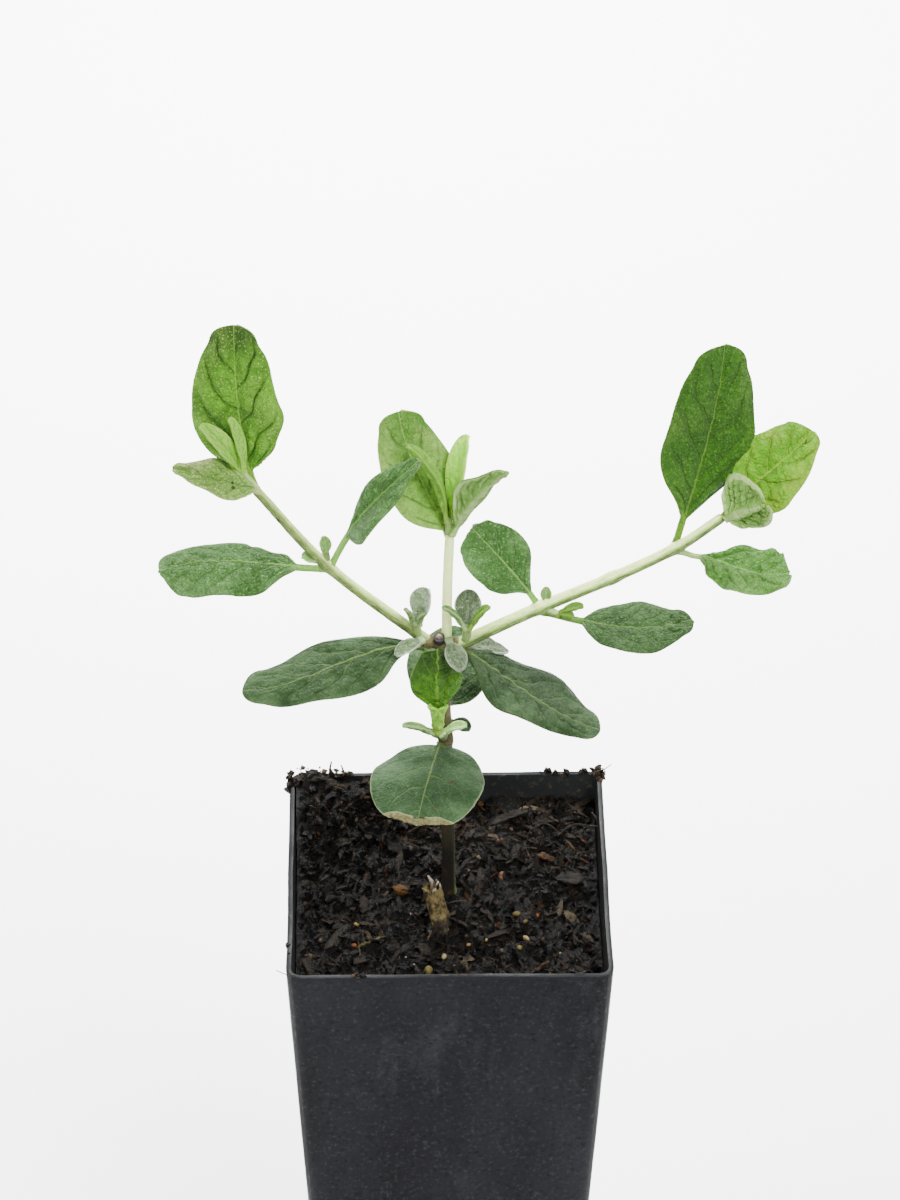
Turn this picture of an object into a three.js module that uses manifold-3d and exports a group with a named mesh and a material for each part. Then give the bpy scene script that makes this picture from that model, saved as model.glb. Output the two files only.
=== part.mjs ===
import * as THREE from 'three';
import { mergeVertices } from 'three/addons/utils/BufferGeometryUtils.js';
import Module from 'manifold-3d';

// A young tree germander in a square nursery pot. Millimetres, +Z up. The origin is the middle
// of the pot's underside, and the pot's front wall faces -Y.

// The clearance between pieces that touch
const GAP = 0.3;

// Pot
const POT_WIDTH = 50;
const POT_HEIGHT = 120;
const POT_TAPER = 0.051;
const POT_WALL = 0.9;
const POT_FLOOR = 1.6;
const POT_CORNER = 3.4;
const CORNER_STEPS = 4;
const DRAIN_SIDES = 12;
const DRAIN_RADIUS = 2.6;
const DRAIN_REACH = 10.5;

// Potting mix: the height of its surface, and a heap in the corner at the back on the left
const SOIL_LEVEL = 114.6;
const SOIL_RINGS = 9;
const SOIL_SPOKES = 36;
const HEAP = { x: -19, y: 19, height: 4.6, spread: 9.5 };
const SLOPE_BACK = 0.03;

// Leaves: a thick petiole that thins into the blade
const PETIOLE_WIDTH = 1.2;
const PETIOLE_THICKNESS = 1;
const BLADE_THICKNESS = 0.75;
const TIP_WIDTH = 1.2;

// Where the stems branch or carry leaves
const STEM_FOOT = [0.2, 1.3, 90];
const STEM_HOLE = 1.85;
const LOWER_NODE = [-0.4, 1, 145.7];
const TOP_NODE = [-1.2, 1, 164.6];
const LEFT_ARM = [-4.4, 1, 165.2];
const RIGHT_ARM = [2.4, 1, 164.6];
const LEFT_NODE = [-17.9, 1, 178.3];
const LEFT_TIP = [-28.6, 1, 192.6];
const CENTRE_FOOT = [-0.3, 1.6, 165];
const CENTRE_TIP = [0.1, 1, 184.4];
const RIGHT_NODE = [13.7, 1, 170.6];
const RIGHT_FAR_NODE = [33.6, 1, 181.4];
const RIGHT_TIP = [40.6, 1, 187.2];

// Colours of the finishes
const CHARCOAL = { color: 0x2f3437, roughness: 0.42 };
const SOIL = { color: 0x241c17, roughness: 0.95 };
const WOODY = { color: 0x8c7f55, roughness: 0.8 };
const FELTED = { color: 0xc9d6ae, roughness: 0.85 };
const GREY_GREEN = { color: 0x5c7a55, roughness: 0.8 };
const FRESH_GREEN = { color: 0x6f9a3c, roughness: 0.75 };
const WOOLLY_GREY = { color: 0x9aa593, roughness: 0.9 };
const BARK = { color: 0x6a4a30, roughness: 0.9 };

const wasm = await Module();
wasm.setup();

const plant = new THREE.Group();
const seats = {};

const vector = (point) => new THREE.Vector3(...point);
const radians = THREE.MathUtils.degToRad;

function moved(point, step) {
  return [point[0] + step[0], point[1] + step[1], point[2] + step[2]];
}

function solidOf(geometry) {
  const bare = geometry.clone();
  bare.deleteAttribute('normal');
  bare.deleteAttribute('uv');
  const merged = mergeVertices(bare);
  const vertProperties = Float32Array.from(merged.attributes.position.array);
  const triVerts = Uint32Array.from(merged.index.array);
  return new wasm.Manifold(new wasm.Mesh({ numProp: 3, vertProperties, triVerts }));
}

function geometryOf(solid) {
  const mesh = solid.getMesh();
  const geometry = new THREE.BufferGeometry();
  geometry.setAttribute('position', new THREE.BufferAttribute(mesh.vertProperties, mesh.numProp));
  geometry.setIndex(new THREE.BufferAttribute(mesh.triVerts, 1));
  geometry.computeVertexNormals();
  return geometry;
}

function largestBody(solid) {
  const bodies = solid.decompose();
  return bodies.reduce((best, body) => (body.volume() > best.volume() ? body : best));
}

function addPiece(name, solid, finish) {
  const material = new THREE.MeshStandardMaterial({ ...finish, metalness: 0 });
  const mesh = new THREE.Mesh(geometryOf(largestBody(solid)), material);
  mesh.name = name;
  plant.add(mesh);
}

// A round bar along a curve. radiusAt(u) is its radius at u, from 0 at the foot to 1 at the tip.
function sweep(curve, radiusAt, sides, steps) {
  const bar = new THREE.CylinderGeometry(1, 1, 1, sides, steps);
  const frames = curve.computeFrenetFrames(steps, false);
  const place = bar.attributes.position;
  for (let i = 0; i < place.count; i += 1) {
    const step = Math.round((place.getY(i) + 0.5) * steps);
    const radius = radiusAt(step / steps);
    const point = curve.getPointAt(step / steps);
    point.addScaledVector(frames.normals[step], place.getX(i) * radius);
    point.addScaledVector(frames.binormals[step], -place.getZ(i) * radius);
    place.setXYZ(i, point.x, point.y, point.z);
  }
  return solidOf(bar);
}

function ball(point, radius) {
  const geometry = new THREE.IcosahedronGeometry(radius, 1);
  geometry.translate(...point);
  return solidOf(geometry);
}

// A stem through its points, with a swelling at each. The seat is the room that it takes up,
// which whatever touches the stem is cut back to.
function makeStem({ name, points, radii, swelling = 0.18, sides = 8, steps = 16, finish }) {
  const curve = new THREE.CatmullRomCurve3(points.map(vector), false, 'centripetal');
  const places = points.map((point, i) => i / (points.length - 1));
  const radiusAt = (u, extra) => {
    const plain = THREE.MathUtils.lerp(radii[0], radii[1], u);
    const nearest = Math.min(...places.map((place) => Math.abs(place - u)));
    return plain * (1 + swelling * Math.exp(-((nearest / 0.06) ** 2))) + extra;
  };
  const stem = sweep(curve, (u) => radiusAt(u, 0), sides, steps);
  const room = sweep(curve, (u) => radiusAt(u, GAP), sides, steps);
  seats[name] = room.add(ball(points.at(-1), radiusAt(1, GAP) * 1.05));
  return { name, stem, finish };
}

// Half the width of a leaf at u, from its foot to its tip
function halfWidth(leaf, u) {
  const start = leaf.petiole / leaf.length;
  const petioleHalf = (leaf.slim ?? 1) * PETIOLE_WIDTH / 2;
  const t = (u - start) / (1 - start);
  if (t <= 0) {
    return petioleHalf;
  }
  const skew = Math.log(0.5) / Math.log(leaf.widest);
  const fullness = THREE.MathUtils.lerp(leaf.footCurve ?? 0.9, leaf.tipCurve ?? 0.7, t);
  const blade = (leaf.width / 2) * Math.sin(Math.PI * Math.min(t, 0.999) ** skew) ** fullness;
  const least = THREE.MathUtils.lerp(petioleHalf, Math.min(TIP_WIDTH, leaf.width * 0.3) / 2, t);
  return Math.max(blade, least);
}

// How far along the blade a point is: 0 on the petiole, 1 where the blade has its full form
function bladeShare(leaf, u) {
  const start = leaf.petiole / leaf.length;
  return THREE.MathUtils.smoothstep(u, start, start + 0.2);
}

// The leaf's own directions: along it, to its right and up from its upper face
function leafAxes(leaf) {
  const heading = radians(leaf.heading);
  const climb = radians(leaf.climb);
  const level = new THREE.Vector3(Math.cos(heading), Math.sin(heading), 0);
  const along = level.clone().multiplyScalar(Math.cos(climb));
  along.z = Math.sin(climb);
  const up = level.clone().multiplyScalar(-Math.sin(climb));
  up.z = Math.cos(climb);
  up.applyAxisAngle(along, radians(leaf.roll ?? 0));
  const right = along.clone().cross(up);
  return { along, right, up };
}

// A closed blade: the midrib is a curve, each half is an arc across it, and the edge waves.
// The extra is added all round, for the room that a neighbour must leave.
function leafSolid(leaf, foot, extra = 0) {
  const { along, right, up } = leafAxes(leaf);
  const [rise, lateRise] = leaf.rise ?? [0.05, 0.05];
  const [sway, lateSway] = leaf.sway ?? [0, 0];
  const knot = (share, lift, aside) => vector(foot)
    .addScaledVector(along, leaf.length * share)
    .addScaledVector(up, leaf.length * lift)
    .addScaledVector(right, leaf.length * aside);
  const midrib = new THREE.CubicBezierCurve3(
    knot(0, 0, 0), knot(1 / 3, rise, sway), knot(2 / 3, lateRise, lateSway), knot(1, 0, 0));
  const wave = { height: 0, count: 2, phase: 0, ...leaf.wave };
  const rows = leaf.rows ?? 10;
  const columns = leaf.columns ?? 6;
  const start = leaf.petiole / leaf.length;

  const stationAt = (row) => {
    if (row < 2) {
      return (row / 2) * start;
    }
    const t = (row - 2) / (rows - 2);
    const eased = THREE.MathUtils.lerp(t, (1 - Math.cos(Math.PI * t)) / 2, 0.75);
    return start + (1 - start) * eased;
  };

  const placeAt = (row, column, face) => {
    const u = stationAt(row);
    const v = (2 * column) / columns - 1;
    const share = bladeShare(leaf, u);
    const tangent = midrib.getTangent(u);
    const side = right.clone().addScaledVector(tangent, -right.dot(tangent)).normalize();
    side.applyAxisAngle(tangent, radians((leaf.twist ?? 0) * u));
    const normal = side.clone().cross(tangent);
    const fold = radians((leaf.fold ?? 8) * share);
    const cup = radians((leaf.cup ?? 0) * share) || 1e-4;
    const turn = fold + cup * Math.abs(v);
    const half = halfWidth(leaf, u) + extra;
    const across = Math.sign(v) * half * (Math.sin(turn) - Math.sin(fold)) / cup;
    const ripple = Math.sin(2 * Math.PI * wave.count * u + wave.phase + (v > 0 ? 1.3 : 0));
    const curl = half * (Math.cos(fold) - Math.cos(turn)) / cup;
    const lift = curl + wave.height * share * v * v * ripple;
    const lean = v === 0 ? 0 : Math.sign(v) * turn;
    const outward = normal.clone().multiplyScalar(Math.cos(lean));
    outward.addScaledVector(side, -Math.sin(lean));
    const petioleThickness = (leaf.slim ?? 1) * PETIOLE_THICKNESS;
    const thickness = THREE.MathUtils.lerp(petioleThickness, BLADE_THICKNESS, share);
    return midrib.getPoint(u)
      .addScaledVector(side, across)
      .addScaledVector(normal, lift)
      .addScaledVector(outward, face * (thickness / 2 + extra));
  };

  const positions = [];
  const faces = [];
  const put = (row, column, face) => {
    const half = face > 0 ? 0 : (rows + 1) * (columns + 1);
    return half + row * (columns + 1) + column;
  };
  const quad = (a, b, c, d) => faces.push(a, b, c, a, c, d);
  for (const face of [1, -1]) {
    for (let row = 0; row <= rows; row += 1) {
      for (let column = 0; column <= columns; column += 1) {
        positions.push(...placeAt(row, column, face));
      }
    }
  }
  for (let row = 0; row < rows; row += 1) {
    for (let column = 0; column < columns; column += 1) {
      quad(put(row, column, 1), put(row, column + 1, 1),
        put(row + 1, column + 1, 1), put(row + 1, column, 1));
      faces.push(put(row, column, -1), put(row + 1, column + 1, -1), put(row, column + 1, -1));
      faces.push(put(row, column, -1), put(row + 1, column, -1), put(row + 1, column + 1, -1));
    }
    quad(put(row, 0, 1), put(row + 1, 0, 1), put(row + 1, 0, -1), put(row, 0, -1));
    quad(put(row, columns, 1), put(row, columns, -1),
      put(row + 1, columns, -1), put(row + 1, columns, 1));
  }
  for (let column = 0; column < columns; column += 1) {
    quad(put(0, column, 1), put(0, column, -1), put(0, column + 1, -1), put(0, column + 1, 1));
    quad(put(rows, column, 1), put(rows, column + 1, 1),
      put(rows, column + 1, -1), put(rows, column, -1));
  }
  const geometry = new THREE.BufferGeometry();
  geometry.setAttribute('position', new THREE.Float32BufferAttribute(positions, 3));
  geometry.setIndex(faces);
  return solidOf(geometry);
}

// Small leaves share these values unless they name their own
const SMALL = { petiole: 0.8, widest: 0.5, rows: 7, columns: 4, slim: 0.75, fold: 12 };
const TINY = { petiole: 0.5, widest: 0.5, rows: 5, columns: 2, slim: 0.7, fold: 10 };

// A side shoot: a short stalk with its small leaves, joined in one body
function makeShoot({ name, foot, stalk, leaves, clear, finish }) {
  const tip = moved(foot, stalk.reach);
  const curve = new THREE.LineCurve3(vector(foot), vector(tip));
  let shoot = sweep(curve, (u) => THREE.MathUtils.lerp(stalk.radii[0], stalk.radii[1], u), 6, 3);
  for (const leaf of leaves) {
    const from = vector(foot).lerp(vector(tip), leaf.at ?? 0.9).toArray();
    shoot = shoot.add(leafSolid(leaf, from));
  }
  for (const seat of clear) {
    shoot = shoot.subtract(seats[seat]);
  }
  addPiece(name, shoot, finish);
}

function roundedSquare(half, corner) {
  const outline = new THREE.Shape();
  const quarter = Math.PI / 2;
  for (let side = 0; side < 4; side += 1) {
    const turn = side * quarter;
    const reach = half - corner;
    const x = reach * Math.SQRT2 * Math.cos(turn + quarter / 2);
    const y = reach * Math.SQRT2 * Math.sin(turn + quarter / 2);
    for (let step = 0; step <= CORNER_STEPS; step += 1) {
      const angle = turn + (quarter * step) / CORNER_STEPS;
      const point = [x + corner * Math.cos(angle), y + corner * Math.sin(angle)];
      if (side === 0 && step === 0) {
        outline.moveTo(...point);
      } else {
        outline.lineTo(...point);
      }
    }
  }
  outline.closePath();
  return outline;
}

// A tapered square block between two heights, inset from the pot's outside
function potBlock(inset, bottom, top) {
  const half = POT_WIDTH / 2 - inset;
  const outline = roundedSquare(half, POT_CORNER - inset);
  const block = new THREE.ExtrudeGeometry(outline, { depth: top - bottom, bevelEnabled: false });
  const place = block.attributes.position;
  for (let i = 0; i < place.count; i += 1) {
    const z = place.getZ(i) + bottom;
    const scale = (half - POT_TAPER * (POT_HEIGHT - z)) / half;
    place.setXYZ(i, place.getX(i) * scale, place.getY(i) * scale, z);
  }
  return solidOf(block);
}

function standingBar(radius, x, y, bottom, top, sides) {
  const bar = new THREE.CylinderGeometry(radius, radius, top - bottom, sides);
  bar.rotateX(Math.PI / 2);
  bar.translate(x, y, (bottom + top) / 2);
  return solidOf(bar);
}

function makePot() {
  let pot = potBlock(0, 0, POT_HEIGHT).subtract(potBlock(POT_WALL, POT_FLOOR, POT_HEIGHT + 1));
  for (const x of [-DRAIN_REACH, DRAIN_REACH]) {
    for (const y of [-DRAIN_REACH, DRAIN_REACH]) {
      pot = pot.subtract(standingBar(DRAIN_RADIUS, x, y, -1, POT_FLOOR + 1, DRAIN_SIDES));
    }
  }
  addPiece('pot', pot, CHARCOAL);
}

// The crumbly surface: broad swells, lumps of a few millimetres, and the heap
function soilHeight(x, y) {
  const swell = 0.5 * Math.sin(0.21 * x + 1.1) * Math.cos(0.17 * y - 0.4);
  const lumps = 0.42 * Math.sin(0.93 * x + 0.55 * y) * Math.cos(0.71 * y - 0.62 * x + 0.8);
  const grains = 0.3 * Math.sin(1.9 * x - 1.3 * y + 0.5) * Math.sin(1.6 * y + 0.9 * x);
  const reach = ((x - HEAP.x) ** 2 + (y - HEAP.y) ** 2) / HEAP.spread ** 2;
  return SOIL_LEVEL + swell + lumps + grains + SLOPE_BACK * y + HEAP.height * Math.exp(-reach);
}

// The mix fills the pot, with its crumbly surface as rings of points round the middle.
function soilBody() {
  const outline = roundedSquare(POT_WIDTH / 2 - POT_WALL - GAP, POT_CORNER - POT_WALL - GAP);
  const rim = outline.getSpacedPoints(SOIL_SPOKES);
  const positions = [];
  const faces = [];
  const bottom = POT_FLOOR + GAP;
  const insetAt = (z) => {
    const half = POT_WIDTH / 2 - POT_WALL - GAP;
    return (half - POT_TAPER * (POT_HEIGHT - z)) / half;
  };
  positions.push(0, 0, soilHeight(0, 0));
  for (let ring = 1; ring <= SOIL_RINGS; ring += 1) {
    for (let spoke = 0; spoke < SOIL_SPOKES; spoke += 1) {
      const share = ring / SOIL_RINGS;
      const x = rim[spoke].x * share;
      const y = rim[spoke].y * share;
      const z = soilHeight(x, y);
      positions.push(x * insetAt(z), y * insetAt(z), z);
    }
  }
  for (let spoke = 0; spoke < SOIL_SPOKES; spoke += 1) {
    positions.push(rim[spoke].x * insetAt(bottom), rim[spoke].y * insetAt(bottom), bottom);
  }
  positions.push(0, 0, bottom);
  const at = (ring, spoke) => 1 + (ring - 1) * SOIL_SPOKES + (spoke % SOIL_SPOKES);
  const floorCentre = 1 + (SOIL_RINGS + 1) * SOIL_SPOKES;
  for (let spoke = 0; spoke < SOIL_SPOKES; spoke += 1) {
    faces.push(0, at(1, spoke), at(1, spoke + 1));
    for (let ring = 1; ring <= SOIL_RINGS; ring += 1) {
      faces.push(at(ring, spoke), at(ring + 1, spoke), at(ring + 1, spoke + 1));
      faces.push(at(ring, spoke), at(ring + 1, spoke + 1), at(ring, spoke + 1));
    }
    faces.push(floorCentre, at(SOIL_RINGS + 1, spoke + 1), at(SOIL_RINGS + 1, spoke));
  }
  const geometry = new THREE.BufferGeometry();
  geometry.setAttribute('position', new THREE.Float32BufferAttribute(positions, 3));
  geometry.setIndex(faces);
  return solidOf(geometry);
}

// Chips of bark and straw that lie on the mix: length, width and thickness, where they lie and
// how they are turned
const CHIPS = [
  { name: 'bark_chip_left', size: [2.2, 1.5, 1.1], x: -7.4, y: 0.6, turn: 40, tilt: 10 },
  { name: 'bark_chip_right', size: [2.8, 1.2, 0.9], x: 15.6, y: 8.4, turn: -25, tilt: 8 },
  { name: 'bark_strip', size: [6.6, 1.5, 0.9], x: 10.2, y: 17.2, turn: 24, tilt: 6 },
  { name: 'grey_flake', size: [4.4, 2.9, 0.8], x: 19.2, y: 3.6, turn: -40, tilt: 12 },
  { name: 'straw', size: [5.4, 0.9, 0.8], x: -12.1, y: -9.6, turn: 28, tilt: 5 },
];
const CHIP_SINK = 0.35;

function chipSolid(chip, extra) {
  const [length, width, thickness] = chip.size;
  const blank = new THREE.SphereGeometry(0.5, 8, 5);
  blank.scale(length + 2 * extra, width + 2 * extra, thickness + 2 * extra);
  blank.rotateY(radians(-chip.tilt));
  blank.rotateZ(radians(chip.turn));
  blank.translate(chip.x, chip.y, soilHeight(chip.x, chip.y) + thickness / 2 - CHIP_SINK);
  return solidOf(blank);
}

// The stub of an older shoot, cut off and torn at its top, in front of the stem
const STUB = { foot: [1.2, -8.4, 106], top: [-2.6, -5.2, 121.4], radii: [1.5, 1.45] };

function stubSolid(extra) {
  const curve = new THREE.LineCurve3(vector(STUB.foot), vector(STUB.top));
  return sweep(curve, (u) => THREE.MathUtils.lerp(...STUB.radii, u) + extra, 9, 3);
}

function makeStub() {
  const splinter = new THREE.ConeGeometry(0.75, 2.8, 5);
  splinter.rotateX(Math.PI / 2);
  splinter.translate(STUB.top[0] + 0.35, STUB.top[1] + 0.3, STUB.top[2] + 0.9);
  addPiece('old_stem_stub', stubSolid(0).add(solidOf(splinter)), WOODY);
}

function makeSoil() {
  let mix = soilBody();
  const [stemX, stemY, stemZ] = STEM_FOOT;
  mix = mix.subtract(standingBar(STEM_HOLE, stemX, stemY, stemZ - GAP, POT_HEIGHT, 8));
  mix = mix.subtract(stubSolid(GAP).add(ball(STUB.foot, STUB.radii[0] + GAP)));
  for (const chip of CHIPS) {
    mix = mix.subtract(chipSolid(chip, GAP));
  }
  addPiece('potting_mix', mix, SOIL);
  for (const chip of CHIPS) {
    addPiece(chip.name, chipSolid(chip, 0), BARK);
  }
}

// The main stem ends in a cut tip between two short arms, from which the side branches grow.
function makeMainStem() {
  const { stem, finish } = makeStem({
    name: 'main_stem',
    points: [STEM_FOOT, [0.2, 1.3, SOIL_LEVEL], LOWER_NODE, TOP_NODE],
    radii: [1.2, 1],
    steps: 12,
    finish: WOODY,
  });
  const arms = [[LEFT_ARM, 1.15], [RIGHT_ARM, 1.1]];
  let whole = stem;
  for (const [end, radius] of arms) {
    const start = moved(TOP_NODE, [0, 0, -0.4]);
    const curve = new THREE.LineCurve3(vector(start), vector(end));
    whole = whole.add(sweep(curve, () => radius, 8, 2));
    seats.main_stem = seats.main_stem
      .add(sweep(curve, () => radius + GAP, 8, 2))
      .add(ball(start, radius + 1.5 * GAP))
      .add(ball(end, radius + GAP));
    whole = whole.add(ball(end, radius));
  }
  const cut = new THREE.LineCurve3(vector(TOP_NODE), vector(moved(TOP_NODE, [-0.3, -0.4, 1.5])));
  whole = whole.add(sweep(cut, () => 0.9, 8, 2));
  seats.main_stem = seats.main_stem.add(sweep(cut, () => 0.9 + GAP, 8, 2));
  addPiece('main_stem', whole, finish);
}

const BRANCHES = [
  { name: 'left_branch', points: [LEFT_ARM, LEFT_NODE, LEFT_TIP], radii: [0.85, 0.75] },
  {
    name: 'centre_branch',
    points: [CENTRE_FOOT, [-0.2, 1.4, 175], CENTRE_TIP],
    radii: [0.75, 0.7],
  },
  {
    name: 'right_branch',
    points: [RIGHT_ARM, RIGHT_NODE, [24.3, 1, 176], RIGHT_FAR_NODE, RIGHT_TIP],
    radii: [0.85, 0.7],
  },
];

function makeBranches() {
  for (const branch of BRANCHES) {
    const { name, stem } = makeStem({ ...branch, swelling: 0.22, finish: FELTED });
    addPiece(name, stem.subtract(seats.main_stem), FELTED);
  }
}

// The large leaves. Heading is the way that a leaf points round the compass from +X, climb is
// its slope up, and roll turns its face, in degrees. Rise and sway bend the midrib up and to
// the right, as shares of the length.
const LEAVES = [
  {
    name: 'lower_front_leaf', foot: [-1.2, 0.4, 145.6], clear: ['main_stem'], finish: GREY_GREEN,
    heading: -100, climb: 3, length: 20.5, width: 17.2, petiole: 2, widest: 0.52,
    rise: [0.05, 0.1], footCurve: 0.5, tipCurve: 0.42, fold: 5, cup: -14, wave: { height: 0.4 },
  },
  {
    name: 'lower_back_leaf', foot: LOWER_NODE, clear: ['main_stem'], finish: GREY_GREEN,
    heading: 92, climb: 17, length: 21.5, width: 12.6, petiole: 4.5, widest: 0.4,
    rise: [0.08, 0.06], footCurve: 0.5, tipCurve: 0.65, fold: 8, wave: { height: 0.4 },
  },
  {
    name: 'top_left_leaf', foot: [-3.6, 0.6, 164], clear: ['main_stem'], finish: GREY_GREEN,
    heading: -170, climb: -11, length: 28, width: 11.2, petiole: 1.8, widest: 0.5,
    rise: [0.07, 0.02], footCurve: 0.6, tipCurve: 0.65, fold: -20, roll: -11,
    wave: { height: 0.4 },
  },
  {
    name: 'top_right_leaf', foot: [1.6, 0.4, 163.8], clear: ['main_stem'], finish: GREY_GREEN,
    heading: -17, climb: -27, length: 24.5, width: 11.6, petiole: 1.8, widest: 0.46,
    rise: [-0.03, -0.04], footCurve: 0.7, fold: -6, roll: 6, wave: { height: 0.4 },
  },
  {
    name: 'top_back_leaf', foot: [1.2, 2, 163], clear: ['main_stem', 'top_right_leaf'],
    finish: GREY_GREEN, heading: 36, climb: -28, length: 11, width: 6.4, petiole: 1.6,
    widest: 0.5, rise: [0.04, 0.04], fold: 6,
  },
  {
    name: 'top_front_leaf', foot: [-0.2, 0.6, 165.4], clear: ['main_stem'], finish: WOOLLY_GREY,
    heading: -66, climb: -30, length: 5.8, width: 3.4, petiole: 1, widest: 0.5, slim: 0.8,
    rise: [0.06, 0.04], footCurve: 0.6, tipCurve: 0.5, fold: 10, rows: 8, columns: 4,
  },
  {
    name: 'left_woolly_leaf', foot: [-3.8, -0.2, 166], clear: ['main_stem', 'left_branch'],
    finish: WOOLLY_GREY, heading: -146, climb: -12, length: 5.2, width: 2.8, petiole: 0.8,
    widest: 0.5, slim: 0.8, footCurve: 0.6, tipCurve: 0.5, fold: 10, rows: 8, columns: 4,
  },
  {
    name: 'left_outer_leaf', foot: LEFT_NODE, clear: ['left_branch'], finish: GREY_GREEN,
    heading: -176, climb: 1, length: 25, width: 10.4, petiole: 4.8, widest: 0.56,
    rise: [0.02, 0], footCurve: 0.8, tipCurve: 0.5, fold: -9, roll: -13, wave: { height: 0.3 },
  },
  {
    name: 'left_inner_leaf', foot: LEFT_NODE, clear: ['left_branch'], finish: GREY_GREEN,
    heading: -9, climb: 56, length: 24.2, width: 7.4, petiole: 6.6, widest: 0.45,
    rise: [0.07, 0.02], footCurve: 0.6, tipCurve: 0.95, fold: 14, roll: 20,
    wave: { height: 0.4 },
  },
  {
    name: 'left_back_leaf', foot: LEFT_TIP, clear: ['left_branch'], finish: FRESH_GREEN,
    heading: 112, climb: 66, length: 24.6, width: 13, petiole: 2.6, widest: 0.44,
    rise: [0, 0.02], sway: [-0.02, 0], footCurve: 0.7, tipCurve: 0.6, fold: 6, roll: -28,
    wave: { height: 0.5 },
  },
  {
    name: 'left_front_leaf', foot: [-28.4, 0.2, 193.4], clear: ['left_branch', 'left_back_leaf'],
    finish: FRESH_GREEN, heading: -165, climb: 26, length: 14.2, width: 6, petiole: 1,
    widest: 0.44, rise: [0, -0.01], footCurve: 0.5, tipCurve: 0.75, fold: 2, roll: -10,
    wave: { height: 0.3 },
  },
  {
    name: 'centre_back_leaf', foot: moved(CENTRE_TIP, [0, 0, -0.9]), clear: ['centre_branch'],
    finish: FRESH_GREEN, heading: 139, climb: 59, length: 20.6, width: 10.4, petiole: 1.4,
    widest: 0.42, rise: [0, 0.02], sway: [-0.06, -0.02], footCurve: 0.5, tipCurve: 0.55, fold: 6,
    roll: -30, wave: { height: 0.4 },
  },
  {
    name: 'centre_front_leaf', foot: moved(CENTRE_TIP, [0.1, -0.2, 0]), finish: FRESH_GREEN,
    clear: ['centre_branch', 'centre_back_leaf'],
    heading: -36, climb: 57, length: 18.2, width: 6.4, petiole: 2, widest: 0.48,
    rise: [0.08, 0.1], fold: 24, roll: -34, wave: { height: 0.4 },
  },
  {
    name: 'right_inner_leaf', foot: RIGHT_NODE, clear: ['right_branch'], finish: GREY_GREEN,
    heading: 176, climb: 52, length: 17.4, width: 9.4, petiole: 3.2, widest: 0.5,
    rise: [0.02, 0.02], footCurve: 0.6, tipCurve: 0.55, fold: 6, roll: -55, wave: { height: 0.3 },
  },
  {
    name: 'right_outer_leaf', foot: moved(RIGHT_NODE, [0.4, -0.3, -0.6]), clear: ['right_branch'],
    finish: GREY_GREEN, heading: -8, climb: -3, length: 22.6, width: 9.2, petiole: 6,
    widest: 0.5, rise: [-0.02, 0], footCurve: 0.75, fold: -9, roll: 10, wave: { height: 0.3 },
  },
  {
    name: 'right_back_leaf', foot: RIGHT_FAR_NODE, clear: ['right_branch'], finish: FRESH_GREEN,
    heading: 56, climb: 69, length: 31.4, width: 14, petiole: 5, widest: 0.46,
    rise: [0, 0], sway: [0.02, 0.03], footCurve: 0.75, tipCurve: 0.72, fold: 5, roll: 60,
    wave: { height: 0.4 },
  },
  {
    name: 'right_front_leaf', foot: moved(RIGHT_FAR_NODE, [0.4, -0.5, -0.8]), finish: FRESH_GREEN,
    clear: ['right_branch'], heading: -21, climb: 3, length: 17, width: 8.2, petiole: 2.4,
    widest: 0.56, rise: [-0.05, 0.01], footCurve: 0.5, tipCurve: 0.38, fold: -13, roll: 6,
    wave: { height: 0.5, count: 3 },
  },
  {
    name: 'right_tip_inner_leaf', foot: RIGHT_TIP, clear: ['right_branch'], finish: FRESH_GREEN,
    heading: 21, climb: 42, length: 18.6, width: 11, petiole: 2.2, widest: 0.5,
    rise: [0, 0.03], footCurve: 0.6, tipCurve: 0.55, fold: 4, roll: 34, wave: { height: 0.4 },
  },
  {
    name: 'right_tip_outer_leaf', foot: moved(RIGHT_TIP, [0.3, -0.6, 0.1]), finish: FRESH_GREEN,
    clear: ['right_branch', 'right_tip_inner_leaf'], heading: -38, climb: 52, length: 8,
    width: 9, petiole: 0.6, widest: 0.5, rise: [0, 0.04], footCurve: 0.4, tipCurve: 0.4,
    fold: 30, cup: -40, roll: -88,
  },
  {
    name: 'lower_shoot_leaf', foot: [-1.5, -1, 150.1], clear: ['main_stem', 'top_front_leaf'],
    finish: FRESH_GREEN, heading: -80, climb: 88, length: 14, width: 8, petiole: 3,
    widest: 0.5, rise: [0, 0], footCurve: 0.8, tipCurve: 0.6, fold: 6, rows: 9,
  },
];

function makeLeaves() {
  for (const leaf of LEAVES) {
    seats[leaf.name] = leafSolid(leaf, leaf.foot, GAP);
    let blade = leafSolid(leaf, leaf.foot);
    for (const seat of leaf.clear) {
      blade = blade.subtract(seats[seat]);
    }
    addPiece(leaf.name, blade, leaf.finish);
  }
}

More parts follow.
